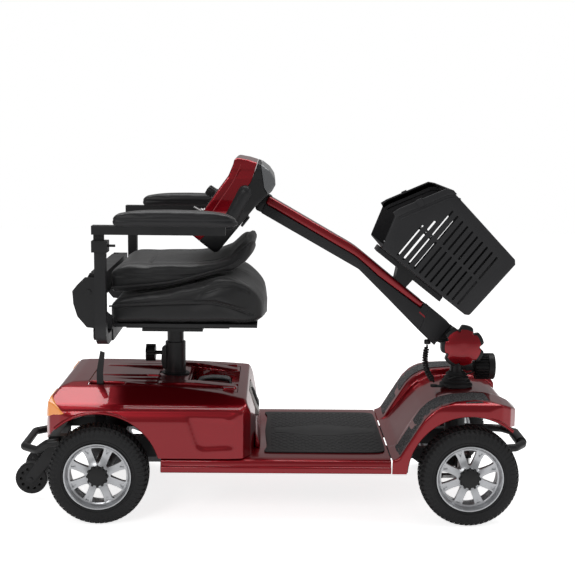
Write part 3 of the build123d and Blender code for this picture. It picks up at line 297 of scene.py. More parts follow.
def finish(name, colour, deep, gloss, patch=12.0, grain=900.0, bump=0.1, depth=0.0002,
           metallic=0.0, coat=0.0, coat_rough=0.05, sheen=0.0, specular=0.3):
    """A material with the shared wander group, and constants on the shader's own sockets."""
    material = bpy.data.materials.new(name)
    material.use_nodes = True
    nodes, links = material.node_tree.nodes, material.node_tree.links
    shader = nodes["Principled BSDF"]
    wander = nodes.new("ShaderNodeGroup")
    wander.node_tree = WANDER
    wander.name = "wander"
    wander.inputs["Colour"].default_value = (*colour, 1)
    wander.inputs["Deep"].default_value = (*deep, 1)
    wander.inputs["Gloss low"].default_value = gloss[0]
    wander.inputs["Gloss high"].default_value = gloss[1]
    wander.inputs["Patch"].default_value = patch
    wander.inputs["Grain"].default_value = grain
    bump_node = nodes.new("ShaderNodeBump")
    bump_node.name = "bump"
    bump_node.inputs["Strength"].default_value = bump
    bump_node.inputs["Distance"].default_value = depth
    links.new(wander.outputs["Colour"], shader.inputs["Base Color"])
    links.new(wander.outputs["Roughness"], shader.inputs["Roughness"])
    links.new(wander.outputs["Height"], bump_node.inputs["Height"])
    links.new(bump_node.outputs["Normal"], shader.inputs["Normal"])
    shader.inputs["Metallic"].default_value = metallic
    shader.inputs["Coat Weight"].default_value = coat
    shader.inputs["Coat Roughness"].default_value = coat_rough
    shader.inputs["Sheen Weight"].default_value = sheen
    shader.inputs["Specular IOR Level"].default_value = specular
    return material


def wear(obj, material):
    """Give a piece one finish in place of any other."""
    obj.data.materials.clear()
    obj.data.materials.append(material)
    return obj


# %% [markdown]
# Candy red paint is a clear gloss coat over a metallic red. The metal in the base and the
# coat on top give the deep red in shade and the wide pale reflections on the upper faces.

# %% Paints and metals
candy_red = finish("candy_red", (0.31, 0.001, 0.0085), (0.25, 0.0009, 0.0065), (0.28, 0.34),
                   patch=6, grain=2600, bump=0.04, metallic=0.72, coat=0.8, coat_rough=0.03)
black_paint = finish("black_paint", (0.012, 0.012, 0.013), (0.018, 0.018, 0.019), (0.34, 0.46),
                     patch=20, grain=1500, bump=0.12, coat=0.15, coat_rough=0.3)
bare_steel = finish("bare_steel", (0.52, 0.52, 0.53), (0.42, 0.41, 0.40), (0.25, 0.42),
                    patch=30, grain=1200, bump=0.06, metallic=1.0)
cast_metal = finish("cast_metal", (0.20, 0.205, 0.21), (0.13, 0.13, 0.135), (0.45, 0.6),
                    patch=25, grain=700, bump=0.3, depth=0.0004, metallic=0.8)
rim_silver = finish("rim_silver", (0.60, 0.61, 0.63), (0.53, 0.54, 0.56), (0.28, 0.38),
                    patch=18, grain=2200, bump=0.05, metallic=0.75, coat=0.5, coat_rough=0.1)

# %% [markdown]
# Plastics, rubber and vinyl are all near black here, so what tells them apart is their gloss and
# grain: satin for the moulded covers, matt and speckled for the grip tape, soft and pebbled for
# the seat's vinyl.

# %% Plastics and rubbers
black_plastic = finish("black_plastic", (0.012, 0.012, 0.0125), (0.017, 0.017, 0.018),
                       (0.32, 0.44), patch=15, grain=1800, bump=0.15)
charcoal_plastic = finish("charcoal_plastic", (0.022, 0.022, 0.024), (0.030, 0.030, 0.032),
                          (0.40, 0.52), patch=10, grain=1400, bump=0.3, depth=0.0003)
port_grey = finish("port_grey", (0.55, 0.53, 0.51), (0.50, 0.48, 0.46), (0.3, 0.4), bump=0.08)
smoke_grey = finish("smoke_grey", (0.16, 0.165, 0.17), (0.13, 0.135, 0.14), (0.12, 0.2),
                    patch=8, bump=0.03, coat=0.6)
tyre_rubber = finish("tyre_rubber", (0.011, 0.011, 0.012), (0.018, 0.018, 0.019), (0.55, 0.72),
                     patch=14, grain=900, bump=0.35, depth=0.0004, specular=0.35)
mat_rubber = finish("mat_rubber", (0.020, 0.020, 0.021), (0.029, 0.029, 0.030), (0.5, 0.62),
                    patch=9, grain=1100, bump=0.3, depth=0.0003, specular=0.4)
cable_rubber = finish("cable_rubber", (0.012, 0.012, 0.012), (0.02, 0.02, 0.02), (0.35, 0.5),
                      patch=40, grain=1500, bump=0.1)
amber = finish("amber", (0.85, 0.33, 0.09), (0.75, 0.24, 0.06), (0.15, 0.22), patch=30, bump=0.05,
               coat=0.8)
lamp_glass = finish("lamp_glass", (0.35, 0.36, 0.38), (0.28, 0.29, 0.31), (0.05, 0.1), patch=30,
                    bump=0.02, coat=1.0)
amber.node_tree.nodes["Principled BSDF"].inputs["Emission Color"].default_value = (1, 0.4, 0.1, 1)
amber.node_tree.nodes["Principled BSDF"].inputs["Emission Strength"].default_value = 0.25


# %% Vinyl and grip tape: a second pattern drives the bump or the colour
def make_vinyl(name, colour, deep, gloss, pebble):
    """Vinyl with a pebbled leather grain pressed into it."""
    material = finish(name, colour, deep, gloss, patch=7, sheen=0.15)
    nodes, links = material.node_tree.nodes, material.node_tree.links
    place = nodes.new("ShaderNodeTexCoord")
    cells = nodes.new("ShaderNodeTexVoronoi")
    cells.feature = "DISTANCE_TO_EDGE"
    cells.inputs["Scale"].default_value = pebble
    links.new(place.outputs["Object"], cells.inputs["Vector"])
    links.new(cells.outputs["Distance"], nodes["bump"].inputs["Height"])
    nodes["bump"].inputs["Strength"].default_value = 0.25
    nodes["bump"].inputs["Distance"].default_value = 0.0006
    return material


def make_grip_tape():
    """Coarse grit in dark rubber: pale and dark specks at two sizes."""
    material = finish("grip_grit", (0.03, 0.03, 0.032), (0.04, 0.04, 0.042), (0.7, 0.85),
                      grain=700, bump=0.8, depth=0.0008, specular=0.3)
    nodes, links = material.node_tree.nodes, material.node_tree.links
    place = nodes.new("ShaderNodeTexCoord")
    specks = nodes.new("ShaderNodeTexNoise")
    specks.inputs["Scale"].default_value = 420
    specks.inputs["Detail"].default_value = 4
    ramp = nodes.new("ShaderNodeValToRGB")
    ramp.color_ramp.elements[0].position = 0.47
    ramp.color_ramp.elements[0].color = (0.018, 0.018, 0.019, 1)
    ramp.color_ramp.elements[1].position = 0.62
    ramp.color_ramp.elements[1].color = (0.17, 0.17, 0.175, 1)
    links.new(place.outputs["Object"], specks.inputs["Vector"])
    links.new(specks.outputs["Fac"], ramp.inputs["Fac"])
    links.new(ramp.outputs["Color"], nodes["Principled BSDF"].inputs["Base Color"])
    return material


seat_vinyl = make_vinyl("seat_vinyl", (0.0125, 0.0125, 0.013), (0.019, 0.019, 0.020),
                        (0.36, 0.5), 900)
pad_vinyl = make_vinyl("pad_vinyl", (0.012, 0.012, 0.013), (0.018, 0.018, 0.02), (0.32, 0.42),
                       1200)
grip_grit = make_grip_tape()
print("finishes", len(bpy.data.materials))

# %% [markdown]
# The CAD nodes that stay visible get their finish now. Pieces modelled further down replace the
# rest: mouldings, tyres, rims, padding, the tiller's covers, the basket and the cable.

# %% Finishes for the CAD nodes
CAD_FINISHES = {
    black_paint: ["main_frame", "antitip_arms", "freewheel_lever", "seat_post", "seat_base",
                  "seat_pan", "backrest_frame", "steering_column", "basket_bracket",
                  "armrest_post_left", "armrest_post_right", "rear_bumper", "front_bumper",
                  "armrest_arm_left", "armrest_arm_right"],
    bare_steel: ["tie_rod", "knuckle_left", "knuckle_right", "key"],
    cast_metal: ["transaxle"],
    black_plastic: ["controller", "battery_pack", "throttle_paddles", "horn_button",
                    "antitip_wheel_left", "antitip_wheel_right", "height_knob", "width_knob_left",
                    "width_knob_right"],
    amber: ["tail_lights"],
}
for material, names in CAD_FINISHES.items():
    for name in names:
        wear(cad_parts[name], material)
print("finished CAD nodes", sum(len(names) for names in CAD_FINISHES.values()))

# %% [markdown]
# The curly cord carries the wiring from the tiller to the chassis. It leaves a gland under the
# tiller's lower end and goes into a grommet on the rubber boot's ear. Its route is one smooth
# spline, and the coils are wound round that spline as a mesh tube, each turn close to the next.

# %% Curly cord: the route
CORD_R = 8.0 * MM
CORD_ROUTE = ((0.3923, -0.020, 0.3974), (0.386, -0.028, 0.372), (0.387, -0.031, 0.346),
              (0.396, -0.029, 0.322), (0.412, -0.022, 0.301))


def route_line(points):
    """Points along the smooth spline that a few route points control."""
    data = bpy.data.curves.new("route", "CURVE")
    data.dimensions = "3D"
    spline = data.splines.new("NURBS")
    spline.points.add(len(points) - 1)
    for item, p in zip(spline.points, points):
        item.co = (*p, 1)
    spline.order_u = 3
    spline.use_endpoint_u = True
    data.resolution_u = 24
    holder = bpy.data.objects.new("route", data)
    bpy.context.scene.collection.objects.link(holder)
    mesh = bpy.data.meshes.new_from_object(holder)
    line = [vertex.co.copy() for vertex in mesh.vertices]
    bpy.data.objects.remove(holder)
    return line


cord_line = route_line(CORD_ROUTE)

# %% Curly cord: the coils wound round the route
WIRE_R = 2.7 * MM
TURN_PITCH = 6.2 * MM
STEPS = 18


def wind(line, radius, pitch, steps, straight):
    """Points of a helix round a line, with a short straight lead at each end."""
    lengths = [0.0]
    for a, b in zip(line, line[1:]):
        lengths.append(lengths[-1] + (b - a).length)
    total = lengths[-1]
    count = int((total - 2 * straight) / pitch * steps)
    side = Vector((0, 1, 0))
    points = [line[0].copy()]
    for i in range(count + 1):
        at = straight + (total - 2 * straight) * i / count
        k = max(n for n, length in enumerate(lengths[:-1]) if length <= at)
        share = (at - lengths[k]) / (lengths[k + 1] - lengths[k])
        middle = line[k].lerp(line[k + 1], share)
        along = (line[k + 1] - line[k]).normalized()
        right = (side - along * side.dot(along)).normalized()
        up = along.cross(right)
        grow = min(1.0, i / steps, (count - i) / steps)
        turn = 2 * pi * i / steps
        points.append(middle + (right * cos(turn) + up * sin(turn)) * radius * grow)
    points.append(line[-1].copy())
    return points


helix = wind(cord_line, CORD_R - WIRE_R, TURN_PITCH, STEPS, 4 * MM)
curly_cord = wear(tube("curly_cord_coils", helix, WIRE_R, 8), cable_rubber)
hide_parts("curly_cord")
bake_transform(curly_cord)
print("coils", len(helix) // STEPS, "triangles", len(curly_cord.data.polygons) * 2)

# %% [markdown]
# Each wheel is a solid rubber tyre on a silver cast rim. The tyre's section is drawn once and
# spun round the axle. The tread is one slanted block, modelled flat and copied round the crown,
# because real block tread is also one pattern repeated.

# %% Tyre: the section spun round the axle
REAR_X, FRONT_X, AXLE_Z, WHEEL_Y = -416.0, 470.0, 120.0, 228.0


def spun(name, section, axle=(0, 0, 0), steps=96, closed=True):
    """A section of (across, radius) points, in millimetres, spun round the Y axis."""
    mesh = bpy.data.meshes.new(name)
    rows = [(0.0, y * MM, r * MM) for y, r in section]
    edges = [(i, i + 1) for i in range(len(rows) - 1)]
    if closed:
        edges.append((len(rows) - 1, 0))
    mesh.from_pydata(rows, edges, [])
    obj = bpy.data.objects.new(name, mesh)
    bpy.context.scene.collection.objects.link(obj)
    only(obj)
    bpy.ops.object.mode_set(mode="EDIT")
    bpy.ops.mesh.select_all(action="SELECT")
    bpy.ops.mesh.spin(steps=steps, angle=2 * pi, center=(0, 0, 0), axis=(0, 1, 0))
    bpy.ops.object.mode_set(mode="OBJECT")
    face_outwards(obj)
    obj.data.transform(Matrix.Translation(Vector(axle) * MM))
    smooth(obj, 32)
    return obj


def ring_of(item, count, start=0.0):
    """Copies of one item round the Y axis, joined into one piece."""
    copies = [item]
    for i in range(1, count):
        turn = Matrix.Rotation(2 * pi * i / count + start, 4, "Y")
        copies.append(twin(item, f"{item.name}_{i}", turn))
    return join(item.name, *copies)


TYRE_SECTION = ((-32, 80), (-35, 84), (-36.4, 92), (-36.2, 101), (-34, 108), (-29, 112.5),
                (-22, 114.8), (0, 115.4), (22, 114.8), (29, 112.5), (34, 108), (36.2, 101),
                (36.4, 92), (35, 84), (32, 80))
tyre = spun("tyre_body", TYRE_SECTION, steps=128)

# %% Tyre: one slanted tread block, copied round the crown
BLOCKS = 60


def tread_block(y_in, y_out, r_in, r_out, slant, width):
    """One tapering block across part of the crown, slanted round the tyre."""
    bpy.ops.mesh.primitive_cube_add(size=1)
    block = bpy.context.object
    block.name = "tread"
    for vertex in block.data.vertices:
        outer = vertex.co.y > 0
        y, r = (y_out, r_out) if outer else (y_in, r_in)
        top = vertex.co.z > 0
        angle = (slant if outer else 0.0) + (width if vertex.co.x > 0 else -width) \
            * (0.8 if top else 1.0)
        radius = r if top else r - 7
        vertex.co = (radius * sin(angle) * MM, y * MM, radius * cos(angle) * MM)
    return block


half = pi / BLOCKS
blocks = [tread_block(9, 24, 119.8, 118.6, 0.9 * half, 0.62 * half),
          tread_block(23.5, 33.5, 118.4, 111.5, 0.45 * half, 0.60 * half),
          tread_block(33, 36.9, 111.5, 102.0, 0.25 * half, 0.56 * half)]
middle_block = tread_block(-7, 7, 119.9, 119.9, 0.5 * half, 0.62 * half)
outer = join("tread_out", *blocks)
flip = twin(outer, "tread_in", Matrix.Diagonal((-1, -1, 1, 1)))
outer = join("tread", outer, flip, middle_block)
face_outwards(outer)
tread = ring_of(outer, BLOCKS)
bead = spun("tyre_bead", ((35.0, 86), (37.0, 87), (37.0, 89), (35.6, 90)), steps=96)
tyre = wear(join("tyre", tyre, tread, bead), tyre_rubber)
smooth(tyre, 28)
print("tyre triangles", sum(len(f.vertices) - 2 for f in tyre.data.polygons))

# %% [markdown]
# The rim is a deep barrel with a spoked face set back in it. Eight spokes flare from the hub
# into a Y at the rim, with a small pocket in each fork. A solid face disc is spun, and the
# rounded windows and the pockets are cut out of it, as the casting's own tool would leave them.

# %% Rim: barrel, spoked face and hub cap
RIM_EDGE = 79.4
SPOKES = 8


def window_outline(inner, outer, narrow, wide, count=7):
    """A rounded window between two spokes: narrow at the hub, with a round bay at the rim."""
    arc = [(outer * cos(a), outer * sin(a))
           for a in (radians(-wide + 2 * wide * i / (count - 1)) for i in range(count))]
    nose = [(inner * cos(a), inner * sin(a))
            for a in (radians(narrow - 2 * narrow * i / 2) for i in range(3))]
    return rounded(arc + nose)


barrel = spun("rim", ((-32, RIM_EDGE), (34, RIM_EDGE), (36.4, RIM_EDGE + 0.6), (36.6, 77.6),
                      (35, 76), (32, 74.6), (26, 71.5), (8, 69.5), (4, 68.5), (-2, 69.5),
                      (-26, 72), (-32, 75)), steps=96)
face = spun("rim_face", ((24, 71.8), (22, 66), (21, 50), (23, 34), (28, 26), (28, 9.5), (-22, 9.5),
                         (-24, 22), (8, 25), (10, 40), (11, 60), (9, 71)), steps=96)
windows = []
for i in range(SPOKES):
    window = slab(f"window_{i}", window_outline(31, 67.5, 7, 14.5), "side", -5, 40)
    window.data.transform(Matrix.Rotation(2 * pi * i / SPOKES + pi / 2, 4, "Y"))
    windows.append(window)
cut(face, join("windows", *windows))
pockets = []
for i in range(SPOKES):
    pocket = slab(f"pocket_{i}", ((57, -1.5), (66, -5.5), (67, 0), (66, 5.5), (57, 1.5)), "side",
                  18, 40)
    pocket.data.transform(Matrix.Rotation(2 * pi * (i + 0.5) / SPOKES + pi / 2, 4, "Y"))
    pockets.append(pocket)
cut(face, join("pockets", *pockets))
apply(face, "BEVEL", width=1.1 * MM, segments=2, limit_method="ANGLE", angle_limit=radians(40))
rim = wear(join("rim", barrel, face), rim_silver)
smooth(rim, 35)
cap = spun("hub_cap", ((26, 0.2), (26, 23), (30, 24), (34.6, 21), (36.2, 12), (36.4, 0.2)),
           steps=64, closed=False)
lobes = ring_of(bar("cap_notch", (0, 27, 23.6), (0, 34.5, 23.6), 3.2, 12), 12)
cap = wear(join("hub_cap", cap, lobes), black_plastic)
smooth(cap, 35)
print("rim triangles", sum(len(f.vertices) - 2 for f in rim.data.polygons))

# %% Wheels: four copies, each riding on its own wheel
for end, x in (("rear", REAR_X), ("front", FRONT_X)):
    for side, sign in (("left", 1), ("right", -1)):
        place = (Matrix.Translation(Vector((x, sign * WHEEL_Y, AXLE_Z)) * MM)
                 @ Matrix.Diagonal((1, sign, 1, 1)))
        for item, node, slot in ((tyre, "tyre", "tyre"), (rim, "rim", "rim_silver"),
                                 (cap, "cap", "black_plastic")):
            copy = twin(item, f"{end}_{node}_{side}_finished", place)
            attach(copy, f"{end}_wheel_{side}")
            if node != "cap":
                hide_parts(f"{end}_{node}_{side}")
for item in (tyre, rim, cap):
    bpy.data.objects.remove(item)
print("wheels 4")

# %% [markdown]
# The red mouldings are thin ABS shells. Each starts as three outlines, from the side, from above
# and from the end, made solid and intersected: the body that all three views share. It is melted
# into one skin so that its edges are soft, the wheel arches are cut, and the open underside is
# deleted before the wall gets its thickness.

# %% Red mouldings: the shared shape of three views
BODY_HALF, ARCH_R = 250.0, 150.0


def three_views(name, side, plan, end):
    """The solid that a side view, a plan and an end view share."""
    body = slab(name, side, "side", -400, 400)
    cut(body, slab("plan", plan, "plan", -100, 900), "INTERSECT")
    cut(body, slab("end", end, "front", -900, 900), "INTERSECT")
    return body


def hollow(obj, wall, gone):
    """Open the underside and the arches, then give the skin its wall."""
    remove_faces(obj, gone)
    apply(obj, "SOLIDIFY", thickness=wall * MM, offset=-1.0, use_even_offset=False)


# %% Rear moulding
REAR_SIDE = [(-546, 60), (-546, 235), (-541, 268), (-532, 300), (-518, 315), (-492, 322),
             (-447, 323.5), (-380, 322), (-290, 318), (-198, 312), (-130, 306), (-66, 297),
             (-56, 275), (-44, 240), (-40, 60)]
REAR_PLAN = [(-586, -130), (-548, -186), (-534, -222), (-502, -246), (-450, -250), (-110, -250),
             (-72, -244), (-54, -212), (-41, -100), (-41, 100), (-54, 212), (-72, 244),
             (-110, 250), (-450, 250), (-502, 246), (-534, 222), (-548, 186), (-586, 130)]
REAR_END = mirrored([(250, 50), (250, 252), (244, 275), (226, 288), (160, 315), (118, 327)])

rear = three_views("rear_moulding", REAR_SIDE, REAR_PLAN, REAR_END)
# shallow panel pressed into each side, between the wheel arch and the front corner
PANEL = [(-206, 262), (-120, 258), (-92, 250), (-92, 186), (-170, 184), (-182, 190), (-190, 212)]
for sign in (1, -1):
    cut(rear, slab("panel", PANEL, "side", *sorted((sign * 246.5, sign * 300))))
    # long shoulder groove under the shoulder line
    groove = [(-500, 247), (-470, 244), (-120, 244), (-90, 240), (-90, 236), (-480, 238)]
    cut(rear, slab("shoulder_groove", [(x, z + 30) for x, z in groove], "side",
                   *sorted((sign * 243.5, sign * 300))))
moulded(rear, 3.6, 5)
# the wheel arch, cut round the wheel through the full width
cut(rear, bar("arch", (REAR_X, -400, AXLE_Z), (REAR_X, 400, AXLE_Z), ARCH_R, 128))
cut(rear, slab("below_rear", [(-700, 0), (REAR_X, 0), (REAR_X, 184), (-700, 184)], "side",
               -400, 400))
cut(rear, slab("below_front", [(REAR_X, 0), (0, 0), (0, 162.2), (REAR_X, 162.2)], "side",
               -400, 400))


def under_rear(middle, normal):
    """Faces of the cut underside and of the arch, which stay open."""
    on_arch = abs(hypot(middle.x - REAR_X, middle.z - AXLE_Z) - ARCH_R) < 0.8
    flat = normal.z < -0.99 and middle.z < 186
    return flat or (on_arch and abs(normal.y) < 0.1)


# %% Lid opening and charger opening
LID = [(-452, -150), (-88, -150), (-88, 150), (-452, 150)]
LID_SPACE = [(-453, -151), (-87, -151), (-87, 151), (-453, 151)]
hollow(rear, 3.6, under_rear)
lid_opening = slab("lid_opening", LID_SPACE, "plan", 285, 400)
cut(rear, lid_opening)
cut(rear, slab("port_opening", [(-69, 214), (69, 214), (69, 286), (-69, 286)], "front", -74, 0))
smooth(rear, 40)
wear(rear, candy_red)
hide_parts("rear_shroud")
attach(rear, "chassis")
print("rear moulding triangles", sum(len(f.vertices) - 2 for f in rear.data.polygons))

# %% [markdown]
# The rolled edge of each arch catches the light as one bright line. It is a thin round bead that
# follows the arch, so the shell looks thick where a hand would feel it.

# %% Arch beads
def arch_bead(name, x, sign, start, end, radius=ARCH_R, bead=4.2):
    """A round bead along the outer edge of a wheel arch, from one angle to another."""
    points = []
    for i in range(41):
        a = radians(start + (end - start) * i / 40)
        points.append((x * MM + cos(a) * (radius + 1.5) * MM, sign * (BODY_HALF - 4.0) * MM,
                       AXLE_Z * MM + sin(a) * (radius + 1.5) * MM))
    return tube(name, points, bead * MM, 12)


for side, sign in (("left", 1), ("right", -1)):
    bead = wear(arch_bead(f"rear_arch_bead_{side}", REAR_X, sign, 17, 132), candy_red)
    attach(bead, "chassis")

# %% [markdown]
# The lid over the battery follows the same surface. Six flat ribs run along its rear half, and
# two raised rails run forward from the seat tube either side of the battery's handle recess.

# %% Rear lid: the same surface, with ribs and rails
lid = three_views("rear_lid", REAR_SIDE, REAR_PLAN, REAR_END)
for y in (-118, -86, -54, 54, 86, 118):
    cut(lid, slab("rib", [(-428, y - 11), (-286, y - 11), (-286, y + 11), (-428, y + 11)], "plan",
                  300, 327.5 - abs(y) * 0.055), "UNION")
for sign in (1, -1):
    rail = [(-280, sign * 112), (-120, sign * 84), (-92, sign * 84), (-92, sign * 112),
            (-150, sign * 126), (-280, sign * 140)]
    cut(lid, slab("rail", rail, "plan", 295, 320), "UNION")
cut(lid, slab("rail_slope", [(-300, 331), (-300, 325), (-190, 319), (-86, 305), (-86, 340)],
              "side", -400, 400))
cut(lid, slab("lid_edge", LID, "plan", 288, 400), "INTERSECT")
cut(lid, slab("recess", [(-214, -96), (-100, -76), (-84, -76), (-84, 76), (-100, 76), (-214, 96)],
              "plan", 250, 400))
cut(lid, bar("tube_opening", (-251, 0, 200), (-251, 0, 400), 31, 48))
cut(lid, slab("gusset_opening", [(-291, -13), (-251, -13), (-251, 13), (-291, 13)], "plan",
              200, 400))
cut(lid, slab("lever_slot", [(-448, -146.5), (-364, -146.5), (-364, -133.5), (-448, -133.5)],
              "plan", 200, 400))
moulded(lid, 2.4, 3)
remove_faces(lid, lambda middle, normal: middle.z < 291)
apply(lid, "SOLIDIFY", thickness=3 * MM, offset=-1.0)
smooth(lid, 40)
wear(lid, candy_red)
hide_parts("rear_cover")
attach(lid, "chassis")
print("lid triangles", sum(len(f.vertices) - 2 for f in lid.data.polygons))

# %% Lid fittings: the black collar round the seat tube, the handle's recess, two latches
collar = spun("seat_tube_collar", ((0.1, 27), (4, 27), (4, 34), (1.5, 37), (0.1, 37)), steps=64)
collar.data.transform(Matrix.Translation(Vector((-251, 0, 314.6)) * MM)
                      @ Matrix.Rotation(radians(1.6), 4, "Y") @ Matrix.Rotation(pi / 2, 4, "X"))
wear(collar, black_plastic)
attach(collar, "chassis")
well = slab("handle_well", [(-213, -95), (-101, -75), (-88, -75), (-88, 75), (-101, 75),
                            (-213, 95)], "plan", 286, 304)
cut(well, slab("well_inside", [(-210, -92), (-100, -72), (-80, -72), (-80, 72), (-100, 72),
                               (-210, 92)], "plan", 289, 320))
cut(well, slab("well_hole", [(-209, -88), (-107, -66), (-107, 66), (-209, 88)], "plan", 250, 320))
wear(well, candy_red)
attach(well, "chassis")
for side, sign in (("left", 1), ("right", -1)):
    latch = slab(f"lid_latch_{side}", [(-124, sign * 128), (-96, sign * 128), (-96, sign * 142),
                                       (-124, sign * 142)], "plan", 297, 309.5)
    apply(latch, "BEVEL", width=2.5 * MM, segments=3)
    wear(latch, candy_red)
    smooth(latch, 30)
    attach(latch, "chassis")
print("lid fittings 4")

# %% [markdown]
# The battery lifts out by a grey webbing strap. It comes up through the recess, arches over it
# and tucks in at the front, so it is a flat band along a short curve.

# %% Battery: case and carrying strap
def band(name, line, width, thickness):
    """A flat strap along points in the side view, in millimetres."""
    bpy.ops.mesh.primitive_plane_add(size=1)
    strap = bpy.context.object
    strap.name = name
    mesh = strap.data
    rows = curve_through(line, 6)
    mesh.clear_geometry()
    mesh.from_pydata([(x * MM, y * width / 2 * MM, z * MM) for x, z in rows for y in (-1, 1)], [],
                     [(2 * i, 2 * i + 1, 2 * i + 3, 2 * i + 2) for i in range(len(rows) - 1)])
    apply(strap, "SUBSURF", levels=1, render_levels=1)
    apply(strap, "SOLIDIFY", thickness=thickness * MM, offset=0.0)
    face_outwards(strap)
    smooth(strap, 50)
    return strap


strap = band("battery_strap", [(-196, 284), (-188, 300), (-160, 305.5), (-128, 304.6),
                               (-112, 300), (-110, 286)], 30, 3.0)
webbing = finish("webbing_grey", (0.10, 0.105, 0.11), (0.075, 0.078, 0.08), (0.6, 0.75), patch=40,
                 grain=1600, bump=0.5, depth=0.0005, sheen=0.3)
wear(strap, webbing)
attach(strap, "battery")
case = slab("battery_case", [(-209, -86), (-111, -86), (-111, 86), (-209, 86)], "plan", 152, 281)
apply(case, "BEVEL", width=7 * MM, segments=4, limit_method="ANGLE", angle_limit=radians(40))
wear(case, black_plastic)
smooth(case, 30)
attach(case, "battery")
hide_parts("battery_pack")
print("battery strap and case")

# %% [markdown]
# At the front of the rear moulding a pale grey bezel holds the charging socket behind a black
# rubber flap. Behind it all, amber reflector lamps wrap the two rear corners.

# %% Charger bezel and flap
bezel = slab("charger_bezel", [(-60, 222), (-52, 217), (52, 217), (60, 222), (66, 250), (60, 280),
                               (52, 284), (-52, 284), (-60, 280), (-66, 250)], "front", -62, -36)
cut(bezel, slab("bezel_front", [(-20, 200), (-41.6, 240), (-53.5, 272), (-61.2, 290), (-20, 290)],
                "side", -100, 100))
apply(bezel, "BEVEL", width=3 * MM, segments=3, limit_method="ANGLE", angle_limit=radians(35))
smooth(bezel, 35)
wear(bezel, port_grey)
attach(bezel, "chassis")
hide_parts("charger_port")
flap = spun("charger_flap", ((0, 0.1), (0, 17), (2, 19), (6, 18), (8.5, 13), (9, 0.1)), steps=48,
            closed=False)
flap.data.transform(Matrix.Translation(Vector((-50, 0, 252)) * MM)
                    @ Matrix.Rotation(radians(-20), 4, "Y") @ Matrix.Rotation(-pi / 2, 4, "Z")
                    @ Matrix.Diagonal((1, 1, 1.5, 1)))
wear(flap, black_plastic)
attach(flap, "chassis")

# %% Tail lamps: amber lenses that wrap the corners
for side, sign in (("left", 1), ("right", -1)):
    lens = three_views(f"tail_lens_{side}", [(x - 2.2 if x < -500 else x, z) for x, z in REAR_SIDE],
                       [(x - 2.2, y) for x, y in REAR_PLAN],
                       mirrored([(252, 50), (252, 256), (246, 277), (228, 290), (160, 317)]))
    shape = [(-620, 250), (-548, 250), (-524, 262), (-494, 268), (-534, 303), (-620, 303)]
    cut(lens, slab("lens_outline", shape, "side", *sorted((sign * 120, sign * 300))), "INTERSECT")
    apply(lens, "REMESH", mode="VOXEL", voxel_size=1.6 * MM)
    apply(lens, "SMOOTH", factor=0.5, iterations=3)
    smooth(lens, 40)
    wear(lens, amber)
    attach(lens, "chassis")
    if sign == 1:
        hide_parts("tail_lights")
print("tail lamps 2")

# %% [markdown]
# The floor is a painted tray with a two-step sill along each side, under a rubber mat. The mat
# has two fields of small raised studs and a plain wavy band between them. One stud is modelled
# and copied into rows, and the band is kept clear by testing each stud's place.

# %% Deck tray and sills
SILL = mirrored([(0, 161), (226, 161), (240, 160), (247.5, 157), (249, 152), (249, 144.5),
                 (253, 142), (253, 130), (250, 127.2), (243, 127), (243, 140), (238, 157),
                 (0, 157)])
tray = slab("deck_tray", [(y, z) for y, z in SILL if z != 157 or abs(y) > 100], "front",
            -267.5, 282.8)
cut(tray, bar("tray_tube_hole", (-251, 0, 100), (-251, 0, 200), 27.2, 48))
cut(tray, slab("tray_battery_hole", [(-211, -88.5), (-109, -88.5), (-109, 88.5), (-211, 88.5)],
               "plan", 100, 200))
apply(tray, "BEVEL", width=2 * MM, segments=3, limit_method="ANGLE", angle_limit=radians(20))
smooth(tray, 40)
wear(tray, candy_red)
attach(tray, "chassis")
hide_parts("deck_shell")
print("tray triangles", sum(len(f.vertices) - 2 for f in tray.data.polygons))

# %% Foot ramp between the rear moulding and the mat
ramp = slab("foot_ramp", [(-44, 161.2), (-30, 161.2), (-34, 176), (-43, 200)], "side", -150, 150)
apply(ramp, "BEVEL", width=4 * MM, segments=3, limit_method="ANGLE", angle_limit=radians(20))
smooth(ramp, 40)
wear(ramp, candy_red)
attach(ramp, "chassis")

# %% Rubber mat with its studs
MAT = rounded([(-24, -188), (-14, -150), (-20, 0), (-14, 150), (-24, 188), (-8, 192), (200, 193),
               (272, 190), (276, 150), (276, -150), (272, -190), (200, -193), (-8, -192)])
mat = slab("rubber_mat", MAT, "plan", 161.1, 165.0)
apply(mat, "BEVEL", width=1.4 * MM, segments=2, limit_method="ANGLE", angle_limit=radians(40))
bpy.ops.mesh.primitive_cylinder_add(vertices=6, radius=5.6 * MM, depth=1.2 * MM)
stud = bpy.context.object
stud.name = "stud"
apply(stud, "BEVEL", width=0.9 * MM, segments=1, limit_method="ANGLE", angle_limit=radians(40))
stud.data.transform(Matrix.Diagonal((1.25, 1, 1, 1)))
studs = []
for row in range(-13, 14):
    y = row * 13.4
    for column in range(0, 15):
        x = 2 + column * 18.4 + (9.2 if row % 2 else 0)
        wave = 26 + 30 * max(0.0, cos((x - 130) / 130 * pi / 2)) ** 2
        if abs(y) > wave and x < 266:
            studs.append(twin(stud, "stud_copy", Matrix.Translation(Vector((x, y, 165.2)) * MM)))
bpy.data.objects.remove(stud)
band_outline = []
for i in range(41):
    x = 4 + i * 6.6
    band_outline.append((x, -(22 + 30 * max(0.0, cos((x - 130) / 130 * pi / 2)) ** 2)))
band_outline += [(x, -y) for x, y in reversed(band_outline)]
middle = slab("mat_band", band_outline, "plan", 164.6, 165.8)
apply(middle, "BEVEL", width=0.8 * MM, segments=2, limit_method="ANGLE", angle_limit=radians(40))
print("studs", len(studs))
mat = join("rubber_mat", mat, middle, *studs)
smooth(mat, 35)
wear(mat, mat_rubber)
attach(mat, "chassis")
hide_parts("deck_mat")

